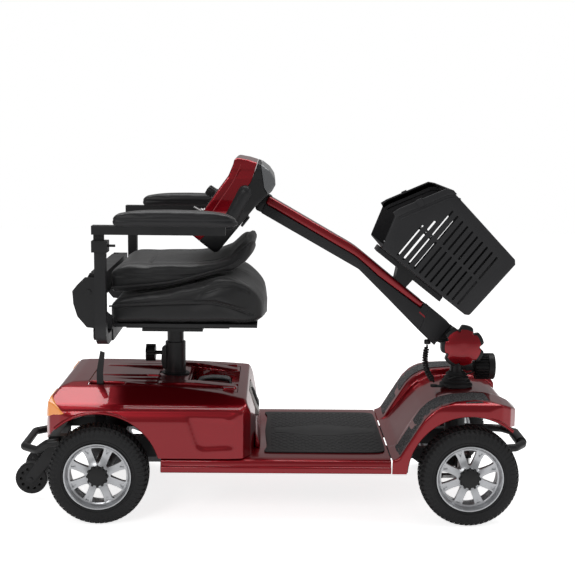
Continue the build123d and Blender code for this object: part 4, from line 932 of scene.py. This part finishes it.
# %% [markdown]
# The front moulding has two fenders that arch over the wheels, with a sunk panel between them
# that carries the steering column. Both come from the same three views as the rear one. A strip
# of coarse grip tape runs up and over each fender for a foot to rest on.

# %% Front moulding
FOOT_X = 284.0
FENDER_SIDE = [(FOOT_X, 60), (FOOT_X, 161), (292, 161.5), (302, 168), (318, 194), (344, 236),
               (360, 261), (378, 279), (400, 292), (430, 300), (482, 304.5), (520, 302.5),
               (552, 295), (576, 284), (592, 271), (598, 260), (592, 60)]
CENTRE_SIDE = [(FOOT_X, 60), (FOOT_X, 161), (298, 161.5), (310, 168), (330, 194), (356, 229),
               (376, 254), (392, 267), (416, 279), (450, 285), (482, 287.5), (520, 286),
               (552, 280), (574, 271), (586, 261), (591, 250), (590, 60)]
FRONT_PLAN = [(0, -250), (515, -250), (545, -244), (568, -228), (586, -196), (595, -150),
              (598, -90), (598, 90), (595, 150), (586, 196), (568, 228), (545, 244), (515, 250),
              (0, 250)]
FRONT_END = mirrored([(250, 50), (250, 284), (246, 294), (236, 301), (210, 309)])
fender = three_views("front_moulding", FENDER_SIDE, FRONT_PLAN, FRONT_END)
cut(fender, slab("valley", [(0, -139), (620, -128), (620, 128), (0, 139)], "plan", 0, 420))
# a crease where each fender's crown turns down to the wheel side
for sign in (1, -1):
    cut(fender, slab("fender_chamfer", [(sign * 238, 330), (sign * 262, 300), (sign * 262, 262),
                                        (sign * 300, 330)], "front", 250, 560))
centre = three_views("front_centre", CENTRE_SIDE, FRONT_PLAN, FRONT_END)
fender = join("front_moulding", fender, centre)
moulded(fender, 3.4, 5)
cut(fender, bar("front_arch", (FRONT_X, -400, AXLE_Z), (FRONT_X, 400, AXLE_Z), ARCH_R, 128))
cut(fender, slab("below_nose", [(FRONT_X, 0), (700, 0), (700, 222), (610, 226), (565, 240),
                                (FRONT_X, 232)], "side", -400, 400))
cut(fender, slab("below_foot", [(200, 0), (FRONT_X, 0), (FRONT_X, 127), (200, 127)], "side",
                 -400, 400))
cut(fender, slab("below_valley", [(200, 0), (FRONT_X, 0), (FRONT_X, 157), (200, 157)], "side",
                 -138, 138))


def under_front(middle, normal):
    """Faces of the cut underside, of the arch and of the joint with the deck."""
    on_arch = abs(hypot(middle.x - FRONT_X, middle.z - AXLE_Z) - ARCH_R) < 0.8
    cut_flat = normal.z < -0.9 and middle.z < 243
    behind = middle.x < FOOT_X + 1.5 and normal.x < -0.9
    return cut_flat or behind or (on_arch and abs(normal.y) < 0.1)


hollow(fender, 3.6, under_front)
cut(fender, bar("column_opening", (472, 0, 200), (472, 0, 400), 30, 48))
smooth(fender, 40)
wear(fender, candy_red)
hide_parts("front_shroud")
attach(fender, "chassis")
for side, sign in (("left", 1), ("right", -1)):
    bead = wear(arch_bead(f"front_arch_bead_{side}", FRONT_X, sign, 48, 176), candy_red)
    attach(bead, "chassis")
print("front moulding triangles", sum(len(f.vertices) - 2 for f in fender.data.polygons))

# %% Grip tape: a thin strip that follows each fender's crown
TAPE_LINE = curve_through([(296, 163.6), (304, 171.5), (319.4, 196), (345, 237.6), (361, 262.5),
                           (379.5, 281), (401, 294), (431, 302), (482, 306.4), (516, 305)], 5)
for side, sign in (("left", 1), ("right", -1)):
    bpy.ops.mesh.primitive_plane_add(size=1)
    tape = bpy.context.object
    tape.name = f"grip_tape_{side}"
    tape.data.clear_geometry()
    edges = []
    count = len(TAPE_LINE)
    for i, (x, z) in enumerate(TAPE_LINE):
        share = i / (count - 1)
        inner = 158 - 6 * share
        outer_y = 246 - 10 * max(0, (share - 0.35) / 0.65)
        sag = [0, 0, 0, 0.6, 3.2 + 3.0 * share]
        for k, drop in enumerate(sag):
            edges.append((x * MM, sign * (inner + (outer_y - inner) * k / 4) * MM,
                          (z - drop) * MM))
    faces = [(5 * i + k, 5 * i + k + 1, 5 * i + k + 6, 5 * i + k + 5)
             for i in range(count - 1) for k in range(4)]
    tape.data.from_pydata(edges, [], faces)
    apply(tape, "SUBSURF", levels=1, render_levels=1)
    apply(tape, "SHRINKWRAP", target=fender, wrap_method="PROJECT", use_project_z=True,
          use_negative_direction=True, use_positive_direction=True, offset=1.0 * MM,
          project_limit=0.02)
    apply(tape, "SOLIDIFY", thickness=1.2 * MM, offset=0.0)
    face_outwards(tape)
    smooth(tape, 40)
    wear(tape, grip_grit)
    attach(tape, "chassis")
    if sign == 1:
        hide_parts("grip_tape")
print("grip tape 2")

# %% [markdown]
# The tiller is a rectangular tube under two covers: a painted upper panel down to the knee, and a
# black textured lower cover. Both are drawn in the side view and given their width across.

# %% Tiller covers
TILLER_TOP = [(-16, 774), (203, 649), (447, 453)]
TILLER_LOW = [(408, 399), (212, 592), (-34, 731)]


def between(a, b, share):
    return (a[0] + (b[0] - a[0]) * share, a[1] + (b[1] - a[1]) * share)


def edged(obj, width, material, body, angle=25, segments=3):
    """Round the edges, then give the piece its finish and its body."""
    apply(obj, "BEVEL", width=width * MM, segments=segments, limit_method="ANGLE",
          angle_limit=radians(angle))
    smooth(obj, 35)
    wear(obj, material)
    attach(obj, body)
    return obj


SPLIT_LINE = [between(a, b, 0.46) for a, b in zip(TILLER_TOP, reversed(TILLER_LOW))]
KNEE_TOP = curve_through([between(*TILLER_TOP[:2], 0.8), between(*TILLER_TOP[:2], 0.96),
                          between(*TILLER_TOP[1:], 0.06), between(*TILLER_TOP[1:], 0.25)], 3)
KNEE_SPLIT = curve_through([between(*SPLIT_LINE[:2], 0.8), between(*SPLIT_LINE[:2], 0.96),
                            between(*SPLIT_LINE[1:], 0.06), between(*SPLIT_LINE[1:], 0.25)], 3)
SPLIT_END = between(SPLIT_LINE[1], SPLIT_LINE[2], 0.72)
TOP_END = between(TILLER_TOP[1], TILLER_TOP[2], 0.72)
panel_low = [SPLIT_LINE[0], *KNEE_SPLIT, between(TOP_END, SPLIT_END, 0.55)]
trim = slab("tiller_panel", [TILLER_TOP[0], *KNEE_TOP, TOP_END, *reversed(panel_low)], "side",
            -32.5, 32.5)
edged(trim, 5, candy_red, "tiller")
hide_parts("tiller_trim")
lower = slab("tiller_cover", [*[(x, z - 0.8) for x, z in [SPLIT_LINE[0], *KNEE_SPLIT]],
                              between(TOP_END, SPLIT_END, 0.6), (TOP_END[0] + 1, TOP_END[1] - 3),
                              between(TILLER_TOP[1], TILLER_TOP[2], 0.8), *TILLER_LOW],
             "side", -31.5, 31.5)
flare = slab("tiller_end", [between(TILLER_TOP[1], TILLER_TOP[2], 0.78), TILLER_TOP[2],
                            TILLER_LOW[0], between(TILLER_LOW[1], TILLER_LOW[0], 0.8)], "side",
             -34, 34)
cut(lower, flare, "UNION")
cut(lower, slab("fork_slot", [(443, 300), (700, 300), (700, 446), (443, 446)], "side", -13, 13))
edged(lower, 4, charcoal_plastic, "tiller")
for side, sign in (("left", 1), ("right", -1)):
    plate = slab(f"tiller_fork_{side}", [(415, 462), (450, 448), (489, 421), (487, 395),
                                         (476, 388), (458, 390), (398, 413)], "side",
                 *sorted((sign * 13.3, sign * 24)))
    edged(plate, 2.5, black_paint, "tiller")
    stripe = slab(f"tiller_stripe_{side}", [SPLIT_END, (SPLIT_END[0] + 2, SPLIT_END[1] + 3),
                                            (between(*SPLIT_LINE[1:], 0.98)[0] + 2,
                                             between(*SPLIT_LINE[1:], 0.98)[1] + 3),
                                            between(*SPLIT_LINE[1:], 0.98)], "side",
                  *sorted((sign * 31, sign * 32.6)))
    wear(stripe, candy_red)
    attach(stripe, "tiller")
gland = bar("cord_gland", (392.3, -20, 411), (392.3, -20, 399.5), 8.5, 32)
edged(gland, 2, black_plastic, "tiller")
neck = slab("tiller_neck", [(-52, 768), (-12, 776), (-4, 768), (-24, 728), (-48, 738)], "side",
            -27, 27)
edged(neck, 5, black_plastic, "tiller")
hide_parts("tiller_tube")
print("tiller covers 2")

# %% [markdown]
# The clamp knob is a seven-lobed star, painted red over a black knurled core. The core shows in
# the seven finger recesses. Its face is domed, so it takes one round highlight.

# %% Star knob
KNOB_AT = Vector((472, -98, 405))


def star(radius, dip, lobes=7, steps=140, turn=0.0):
    """A star outline with rounded lobes and deeper, rounder recesses."""
    out = []
    for i in range(steps):
        a = 2 * pi * i / steps
        wave = max(0.0, cos(lobes * (a + turn)))
        out.append(((radius - dip * wave ** 1.6) * cos(a), (radius - dip * wave ** 1.6) * sin(a)))
    return out


def domed(obj, middle, flat, height):
    """Let the face fall away towards its rim, as a shallow dome."""
    for vertex in obj.data.vertices:
        if vertex.co.y < (middle.y + 8) * MM:
            r = hypot(vertex.co.x - middle.x * MM, vertex.co.z - middle.z * MM) / MM
            vertex.co.y += height * max(0.0, (r - flat) / 54) ** 2 * MM


knob_face = slab("knob_star", [(472 + x, 405 + z) for x, z in star(53.5, 13)], "side", -97.5, -70)
apply(knob_face, "REMESH", mode="VOXEL", voxel_size=1.5 * MM)
domed(knob_face, KNOB_AT, 6, 14)
apply(knob_face, "SMOOTH", factor=0.5, iterations=10)
smooth(knob_face, 50)
wear(knob_face, candy_red)
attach(knob_face, "clamp_knob")
knurl = [(472 + (42.8 if i % 2 else 41.4) * cos(i * pi / 84), 405 + (42.8 if i % 2 else 41.4)
          * sin(i * pi / 84)) for i in range(168)]
core = slab("knob_core", [(472 + x, 405 + z) for x, z in star(53.9, 11.2)], "side", -90, -62.4)
apply(core, "BEVEL", width=3 * MM, segments=2, limit_method="ANGLE", angle_limit=radians(60))
collar_core = slab("knob_knurl", knurl, "side", -88, -63)
shank = bar("knob_shank", (472, -63, 405), (472, -25.2, 405), 15, 40)
bolt = bar("knob_bolt", (472, -40, 405), (472, 25, 405), 7.9, 24)
nut = slab("knob_nut", [(472 + 14 * cos(a), 405 + 14 * sin(a)) for a in
                        (i * pi / 3 for i in range(6))], "side", 25.2, 34.8)
core = wear(join("knob_core", core, collar_core, shank, bolt, nut), black_plastic)
smooth(core, 35)
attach(core, "clamp_knob")
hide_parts("tiller_knob")
print("knob lobes 7")

# %% [markdown]
# The headlamp is a finned can on a small bracket, with a clear lens at its front. One fin is
# modelled and copied round the can.

# %% Headlamp
LAMP_LINE = Matrix.Translation(Vector((516, 0, 339)) * MM) @ Matrix.Rotation(-pi / 2, 4, "Z")
can = spun("headlamp_can", ((0, 0.1), (0, 20), (4, 26), (10, 29), (34, 29.5), (36, 33.8),
                            (50, 33.8), (52, 32), (52, 29.5), (47, 28.5), (44, 20), (43, 0.1)),
           steps=72, closed=False)
bpy.ops.mesh.primitive_cube_add(size=1)
fin = bpy.context.object
fin.name = "fin"
fin.data.transform(Matrix.Translation(Vector((0, 19, 31)) * MM)
                   @ Matrix.Diagonal((1.8 * MM, 32 * MM, 5.4 * MM, 1)))
fins = ring_of(fin, 26)
can = join("headlamp_can", can, fins)
can.data.transform(LAMP_LINE)
for sign in (1, -1):
    cheek = slab("lamp_cheek", [(494, 329), (522, 329), (522, 349), (494, 349)], "side",
                 *sorted((sign * 9, sign * 13)))
    can = join("headlamp_can", can, cheek)
pin = bar("lamp_pin", (502, -14.5, 339), (502, 14.5, 339), 4, 16)
can = wear(join("headlamp_can", can, pin), black_plastic)
smooth(can, 35)
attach(can, "lamp")
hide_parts("headlamp")
glass = spun("headlamp_glass", ((48, 29.5), (50.5, 29.2), (52.4, 24), (53, 14), (53.2, 0.1)),
             steps=64, closed=False)
glass.data.transform(LAMP_LINE)
wear(glass, lamp_glass)
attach(glass, "lamp")
lead = wear(tube("lamp_lead", route_line(((0.514, -0.020, 0.330), (0.500, -0.029, 0.326),
                                          (0.480, -0.031, 0.318), (0.462, -0.030, 0.317),
                                          (0.446, -0.026, 0.3085))), 1.8 * MM, 8), cable_rubber)
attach(lead, "steering")

# %% Rubber boot: bellows round the column, with the cable's ear
bellows = spun("column_boot_rings",
               ((1, 18.2), (1, 42.3), (5, 42.3), (7.5, 39), (9, 35.5), (12, 36.8), (14, 37),
                (15.5, 34), (18, 30.6), (21, 31.8), (23, 32), (24.5, 29), (27, 25.6), (30, 26.8),
                (32, 26.6), (34, 22.5), (37.8, 20), (37.8, 18.2)), steps=72)
bellows.data.transform(Matrix.Translation(Vector((472, 0, 288)) * MM)
                       @ Matrix.Rotation(pi / 2, 4, "X"))
ear = slab("boot_ear", [(406, -31), (434, -31), (434, -13), (406, -13)], "plan", 289, 292)
nozzle = bar("boot_nozzle", (412, -22, 289), (412, -22, 294), 9, 32)
bellows = wear(join("column_boot_rings", bellows, ear, nozzle), tyre_rubber)
smooth(bellows, 30)
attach(bellows, "steering")
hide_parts("column_boot")
print("lamp fins 26")

# %% [markdown]
# The tiller head is two shells: red over the rider's side, black below, with a smoky cap in
# front. They are cut from one rounded block, so the seams line up. Two padded grips sit on its
# sides, and the speed dial, the horn and the key face the rider.

# %% Head: one rounded block cut into three shells
HEAD_SIDE = [(-92, 871), (-64, 866), (-32, 856), (-14, 842), (-2, 824), (1, 808), (-8, 792),
             (-45, 758), (-92, 699), (-138, 641), (-148, 639), (-176, 662), (-201, 684),
             (-186, 718), (-166, 752), (-137, 795), (-112, 829), (-102, 854), (-99, 866)]
HEAD_END = mirrored([(96, 630), (112, 650), (136, 700), (148, 740), (150, 770), (150, 822),
                     (144, 842), (130, 862), (118, 885)])
SEAM = [(-38, 880), (-50, 838), (-60, 812), (-84, 784), (-122, 733), (-190, 662)]


def head_piece(name, space):
    """The part of the head's skin inside a side-view outline."""
    skin = slab(name, HEAD_SIDE, "side", -152, 152)
    cut(skin, slab("head_end", HEAD_END, "front", -400, 200), "INTERSECT")
    moulded(skin, 2.6, 5)
    cut(skin, slab("space", space, "side", -200, 200), "INTERSECT")
    return skin


red_shell = head_piece("head_red", [*SEAM, (-400, 600), (-400, 900)])
for sign in (1, -1):
    line = [(-86, 858), (-104, 818), (-132, 776), (-164, 728), (-192, 686)]
    points = []
    for x, z in curve_through(line, 8):
        out = 151.2 if z > 745 else 151.2 - (745 - z) * 0.21
        points.append(Vector((x + 3, sign * out, z - 2)) * MM)
    edge = tube(f"head_edge_{sign}", points, 1.6 * MM, 10)
    wear(edge, candy_red)
    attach(edge, "tiller")
wear(red_shell, candy_red)
smooth(red_shell, 40)
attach(red_shell, "tiller")
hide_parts("head_upper")
black_shell = head_piece("head_black", [*[(x + 0.8, z - 0.6) for x, z in SEAM], (-300, 500),
                                        (100, 500), (100, 777), (-14, 777), (-28, 800),
                                        (-35, 850), (-36, 900)])
wear(black_shell, black_plastic)
smooth(black_shell, 40)
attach(black_shell, "tiller")
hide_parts("head_lower")
smoke_cap = head_piece("head_cap", [(-35, 900), (-33.5, 850), (-26.5, 801), (-13, 779), (60, 779),
                                    (60, 900)])
wear(smoke_cap, smoke_grey)
smooth(smoke_cap, 40)
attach(smoke_cap, "tiller")

# %% Head: grips and dial
for side, sign in (("left", 1), ("right", -1)):
    grip = bar(f"hand_grip_{side}", (-72, sign * 143, 789), (-112, sign * 135.5, 716), 19, 48)
    for end in ((-72, sign * 143, 789), (-112, sign * 135.5, 716)):
        bpy.ops.mesh.primitive_uv_sphere_add(segments=48, ring_count=24, radius=19 * MM,
                                             location=Vector(end) * MM)
        ball = bpy.context.object
        only(ball)
        bpy.ops.object.transform_apply(location=True)
        cut(grip, ball, "UNION")
    apply(grip, "REMESH", mode="VOXEL", voxel_size=1.6 * MM)
    apply(grip, "SMOOTH", factor=0.5, iterations=6)
    smooth(grip, 60)
    wear(grip, pad_vinyl)
    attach(grip, "tiller")
    if sign == 1:
        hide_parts("grips")
FACE_AT, FACE_NORMAL = Vector((-151, 0, 774.5)), Vector((-0.8201, 0, 0.5722))
ON_FACE = FACE_NORMAL.to_track_quat("Y", "X").to_matrix().to_4x4()
dial_ring = [(0.6, 0.1), (0.6, 15), (3, 15), (5, 13.2), (20, 12.6), (23, 11), (24, 0.1)]
dial = spun("speed_dial_cap", dial_ring, steps=48, closed=False)
dial_rib = bar("dial_rib", (0, 5, 12.8), (0, 21, 12.4), 1.1, 8)
dial = join("speed_dial_cap", dial, ring_of(dial_rib, 20))
dial.data.transform(Matrix.Translation(FACE_AT * MM) @ ON_FACE)
wear(dial, black_plastic)
smooth(dial, 35)
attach(dial, "dial")
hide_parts("speed_dial")
print("head pieces done")

# %% [markdown]
# The basket is an open moulded box that leans with the tiller. Its sides have a stack of long
# slots, each split by a thin bar, and a rolled rim runs round the mouth. The box is drawn in the
# side view, hollowed, and then every slot is cut with one joined tool.

# %% Basket shell
BASKET_HALF, BASKET_WALL = 157.0, 3.0
OUTER = [(256, 660), (290, 746), (300, 753), (408, 801), (424, 798), (580, 634), (581, 622),
         (474, 497), (462, 499)]
INNER = [(232, 683), (464, 501.9), (473, 501.3), (576.8, 623.5), (576.5, 633), (400, 818),
         (300, 860), (200, 780)]
basket = slab("basket_shell", OUTER, "side", -BASKET_HALF, BASKET_HALF)
apply(basket, "BEVEL", width=5 * MM, segments=4, limit_method="ANGLE", angle_limit=radians(50))
cut(basket, slab("basket_inside", INNER, "side", -BASKET_HALF + BASKET_WALL,
                 BASKET_HALF - BASKET_WALL))

# %% Basket slots: each slot runs out from the tiller, and a thin bar splits it in two
SLOT_FOOT = Vector((454, 496))
SLOT_RUN, SLOT_STACK = Vector((0.624, 0.781)), Vector((-0.79, 0.615))
SLOT_PITCH, SLOT_HALF, SLOT_CORNER = 17.2, 2.8, 1.6


def slot_outline(low, high, level):
    """One slot in the side view, with its corners cut: low to high along it, at its level."""
    corners = ((low, -SLOT_HALF + SLOT_CORNER), (low + SLOT_CORNER, -SLOT_HALF),
               (high - SLOT_CORNER, -SLOT_HALF), (high, -SLOT_HALF + SLOT_CORNER),
               (high, SLOT_HALF - SLOT_CORNER), (high - SLOT_CORNER, SLOT_HALF),
               (low + SLOT_CORNER, SLOT_HALF), (low, SLOT_HALF - SLOT_CORNER))
    return [tuple(SLOT_FOOT + SLOT_RUN * run + SLOT_STACK * (level + rise))
            for run, rise in corners]


slots = []
for k in range(12):
    level = 26 + SLOT_PITCH * k
    bar_at = 92 + 1.5 * k
    top = 164 + 2.2 * k if k < 10 else (138, 108)[k - 10]
    for low, high in ((16, bar_at - 3), (bar_at + 3, top)):
        slots.append(slab("slot", slot_outline(low, high, level), "side", -200, 200))
cut(basket, join("slots", *slots))

# %% Basket rim: a rolled band round the mouth, a thin ledge under it and two clips
def basket_band(name, outline, proud):
    """A band round the outside of both sides and the front, hollowed like the basket."""
    band = slab(name, outline, "side", -BASKET_HALF - proud, BASKET_HALF + proud)
    cut(band, slab("band_inside", INNER, "side", -BASKET_HALF + BASKET_WALL,
                   BASKET_HALF - BASKET_WALL))
    apply(band, "BEVEL", width=0.8 * MM, segments=2, limit_method="ANGLE",
          angle_limit=radians(35))
    return band


basket_rim = basket_band("basket_rim", [(282, 746), (296, 755), (407, 803.5), (425, 800.5),
                                        (434, 790.5), (412, 789), (303, 741), (290, 732)], 3.0)
ledge = basket_band("basket_ledge", [(297, 730), (305, 735), (414, 782), (442, 781.5),
                                     (444.5, 778.5), (415, 778.6), (307, 731.4), (299, 726)],
                    1.4)
clips = [slab("basket_clip", [(336, 775), (349, 781), (357, 764), (344, 758)], "side",
              sign * 156, sign * 162) for sign in (-1, 1)]
basket = wear(join("basket_shell", basket, basket_rim, ledge, *clips), charcoal_plastic)
smooth(basket, 35)
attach(basket, "basket")
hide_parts("basket")
rail = slab("basket_rail", [(262, 651), (428, 521), (420, 509), (254, 639)], "side", -24, 24)
apply(rail, "BEVEL", width=2 * MM, segments=2, limit_method="ANGLE", angle_limit=radians(35))
wear(rail, charcoal_plastic)
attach(rail, "tiller")
print("basket triangles", sum(len(f.vertices) - 2 for f in basket.data.polygons))

# %% [markdown]
# The seat is foam under stretched vinyl. Each pad starts as its outline made solid, slightly too
# small. It is melted into an even skin and inflated with a cloth simulation under pressure, with
# no gravity, and no point may move further than the cap. Piping and seams are laid on afterwards.

# %% Padding: inflate a solid under pressure
CLOTH_FRAMES, CLOTH_STIFFNESS = 20, 18


def inflated(obj, voxel, cap, pressure=4.0):
    """Remesh, inflate as cloth for a few frames, cap the movement and subdivide once."""
    apply(obj, "REMESH", mode="VOXEL", voxel_size=voxel * MM)
    apply(obj, "SMOOTH", factor=0.5, iterations=10)
    start = [vertex.co.copy() for vertex in obj.data.vertices]
    cloth = obj.modifiers.new("inflate", "CLOTH")
    settings = cloth.settings
    settings.use_pressure = True
    settings.uniform_pressure_force = pressure
    settings.effector_weights.gravity = 0
    settings.quality = 6
    settings.tension_stiffness = settings.compression_stiffness = CLOTH_STIFFNESS
    for frame_number in range(1, CLOTH_FRAMES + 1):
        bpy.context.scene.frame_set(frame_number)
    only(obj)
    bpy.ops.object.modifier_apply(modifier="inflate")
    bpy.context.scene.frame_set(1)
    for vertex, rest in zip(obj.data.vertices, start):
        move = vertex.co - rest
        if move.length > cap * MM:
            vertex.co = rest + move.normalized() * cap * MM
    apply(obj, "SMOOTH", factor=0.5, iterations=3)
    apply(obj, "SUBSURF", levels=1, render_levels=1)
    smooth(obj, 60)


def pressed(obj, lines, depth, width):
    """Press sewn channels into a skin: each line is a test that gives a distance in mm."""
    for vertex in obj.data.vertices:
        at = vertex.co / MM
        for line in lines:
            away = line(at)
            if away < width:
                fall = depth * (0.5 + 0.5 * cos(pi * away / width))
                vertex.co -= vertex.normal * fall * MM


# %% Seat cushion
CUSHION = [(-394, 484), (-396, 526), (-348, 535), (-257, 548), (-180, 567), (-131, 582),
           (-98, 586), (-66, 575), (-38, 549), (-18, 517), (-9, 490), (-12, 484), (-56, 484)]
cushion = slab("seat_cushion_foam", CUSHION, "side", -211, 211)
cut(cushion, slab("cushion_plan", rounded([(-394, -200), (-380, -212), (-60, -212), (-22, -186),
                                           (-8, -90), (-8, 90), (-22, 186), (-60, 212),
                                           (-380, 212), (-394, 200)]), "plan", 400, 700),
    "INTERSECT")
inflated(cushion, 5.2, 7)


def top_line(x):
    """Height of the cushion's top seam along its side."""
    pairs = list(zip(CUSHION[1:9], CUSHION[2:9]))
    for (ax, az), (bx, bz) in pairs:
        if ax <= x <= bx:
            return az + (bz - az) * (x - ax) / (bx - ax)
    return CUSHION[1][1] if x < CUSHION[1][0] else CUSHION[8][1]


def side_seam(x):
    """Height of the long seam on the cushion's side: level, then down to the nose."""
    return 522 + 10 * sin(pi * (x + 394) / 500) if x < -140 else 530 - 40 * ((x + 140) / 120) ** 1.4


pressed(cushion, [lambda p: abs(p.z - top_line(p.x) + 12) if abs(p.y) > 204 else 99,
                  lambda p: abs(p.z - side_seam(p.x)) if abs(p.y) > 196 else 99,
                  lambda p: abs(p.x + 190) if abs(p.y) < 150 and p.z > 540 else 99,
                  lambda p: abs(abs(p.y) - 150) if p.z > 545 and p.x < -120 else 99], 3.2, 7)
wear(cushion, seat_vinyl)
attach(cushion, "seat")
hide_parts("seat_cushion")
print("cushion triangles", sum(len(f.vertices) - 2 for f in cushion.data.polygons))

# %% Backrest, folded forward
BACK = [(-392, 551), (-257, 565), (-180, 585), (-131, 600), (-98, 607), (-68, 628), (-50, 650),
        (-44, 665), (-49, 677), (-60, 677), (-82, 658), (-106, 633), (-140, 619), (-198, 613),
        (-366, 611), (-393, 600)]
back = slab("backrest_foam", BACK, "side", -183, 183)
cut(back, slab("back_plan", rounded([(-396, -182), (-120, -184), (-62, -166), (-42, -110),
                                     (-42, 110), (-62, 166), (-120, 184), (-396, 182)]), "plan",
               400, 800), "INTERSECT")
inflated(back, 4.6, 5)
pressed(back, [lambda p: abs(p.z - 590) if abs(p.y) > 172 and p.x < -120 else 99,
               lambda p: abs(abs(p.y) - 128) if p.z > 606 and p.x < -120 else 99,
               lambda p: abs(p.x + 300) if abs(p.y) < 128 and p.z > 606 else 99], 2.6, 6)
wear(back, seat_vinyl)
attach(back, "backrest")
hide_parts("backrest_cushion")
print("backrest triangles", sum(len(f.vertices) - 2 for f in back.data.polygons))


# %% Piping: a thin round cord sewn along the cushions' edges
def piping(name, outline, y, body, lift=0.0):
    """A welt along a side-view outline, laid on one side of a pad."""
    points = [Vector((x, y, z + lift)) * MM for x, z in curve_through(outline, 6)]
    welt = wear(tube(name, points, 2.2 * MM, 8), seat_vinyl)
    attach(welt, body)


for side, sign in (("left", 1), ("right", -1)):
    piping(f"cushion_piping_{side}", [(x, side_seam(x)) for x in range(-390, -59, 30)],
           sign * 214.5, "seat")
    piping(f"backrest_piping_{side}", [(-388, 562), (-257, 575), (-180, 594), (-131, 608),
                                       (-104, 617), (-84, 631)], sign * 185.5, "backrest")
print("piping 4")

# %% Pouch on the back of the backrest, which faces up now: a flat pocket
pouch = slab("map_pouch", rounded([(-352, -112), (-352, 112), (-214, 112), (-206, 90),
                                   (-206, -90), (-214, -112)]), "plan", 610, 616.2)
apply(pouch, "BEVEL", width=2.4 * MM, segments=3, limit_method="ANGLE", angle_limit=radians(40))
smooth(pouch, 40)
wear(pouch, seat_vinyl)
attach(pouch, "backrest")

# %% [markdown]
# The armrest pads are a firm foam with a domed top, one on each armrest tube.

# %% Armrest pads
PAD_SIDE = [(-363, 722), (-367, 737), (-357, 748), (-322, 754), (-240, 756), (-140, 754),
            (-108, 749), (-89, 739), (-83, 728), (-86, 722)]
for side, sign in (("left", 1), ("right", -1)):
    middle = sign * 308
    pad = slab(f"armrest_foam_{side}", PAD_SIDE, "side", middle - 24.5, middle + 24.5)
    outline = rounded([(-368, middle - 18), (-358, middle - 26), (-110, middle - 26),
                       (-87, middle - 16), (-80, middle), (-87, middle + 16),
                       (-110, middle + 26), (-358, middle + 26), (-368, middle + 18)])
    cut(pad, slab("pad_plan", outline, "plan", 700, 800), "INTERSECT")
    inflated(pad, 3.4, 2.5)
    pressed(pad, [lambda p: abs(p.z - 736)], 1.3, 4)
    wear(pad, pad_vinyl)
    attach(pad, f"armrest_{side}")
    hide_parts(f"armrest_pad_{side}")
print("armrest pads 2")

# %% [markdown]
# The studio: a wide pale floor, three soft lights and a pale world. Large lights make the wide,
# soft reflections on the red paint. The floor and the world look white to the camera alone.

# %% Floor and lights
bpy.ops.mesh.primitive_plane_add(size=1)
floor = bpy.context.object
floor.name = "studio_floor"
floor.data.transform(Matrix.Diagonal((14, 14, 1, 1)))
paper = finish("studio_paper", (0.97, 0.97, 0.97), (0.96, 0.96, 0.96), (0.85, 0.9), patch=1,
               grain=60, bump=0.02)
paper_shader = paper.node_tree.nodes["Principled BSDF"]
paper_shader.inputs["Emission Color"].default_value = (1, 1, 1, 1)
paper_nodes = paper.node_tree.nodes
seen, glow = paper_nodes.new("ShaderNodeLightPath"), paper_nodes.new("ShaderNodeMapRange")
glow.inputs["To Min"].default_value = 0.18
glow.inputs["To Max"].default_value = 0.8
paper.node_tree.links.new(seen.outputs["Is Camera Ray"], glow.inputs["Value"])
paper.node_tree.links.new(glow.outputs["Result"], paper_shader.inputs["Emission Strength"])
wear(floor, paper)


def soft_light(name, at, target, size, power, shape="RECTANGLE"):
    """A large area light, aimed at a point."""
    data = bpy.data.lights.new(name, "AREA")
    data.shape = shape
    data.size, data.size_y = size
    data.energy = power
    light = bpy.data.objects.new(name, data)
    bpy.context.scene.collection.objects.link(light)
    aim = (Vector(target) - Vector(at)).to_track_quat("-Z", "Y").to_matrix().to_4x4()
    light.matrix_world = Matrix.Translation(at) @ aim
    return light


soft_light("ceiling_box", (0.1, 0.6, 3.0), (0.0, 0.0, 0.3), (3.2, 1.6), 62)
soft_light("side_box", (-1.4, -2.8, 2.0), (0.0, 0.0, 0.35), (1.2, 0.9), 20)
soft_light("front_strip", (2.4, -0.9, 1.3), (0.2, 0.0, 0.4), (0.5, 1.6), 5)


def make_studio_air():
    """White to the camera, and a dimmer grey to everything that it lights."""
    world = bpy.data.worlds.new("studio_air")
    world.use_nodes = True
    nodes, links = world.node_tree.nodes, world.node_tree.links
    background = nodes["Background"]
    background.inputs["Color"].default_value = (1, 1, 1, 1)
    path, level = nodes.new("ShaderNodeLightPath"), nodes.new("ShaderNodeMapRange")
    level.inputs["To Min"].default_value = 0.25
    level.inputs["To Max"].default_value = 1.0
    links.new(path.outputs["Is Camera Ray"], level.inputs["Value"])
    links.new(level.outputs["Result"], background.inputs["Strength"])
    bpy.context.scene.world = world


make_studio_air()
bpy.context.scene.view_settings.view_transform = "Standard"
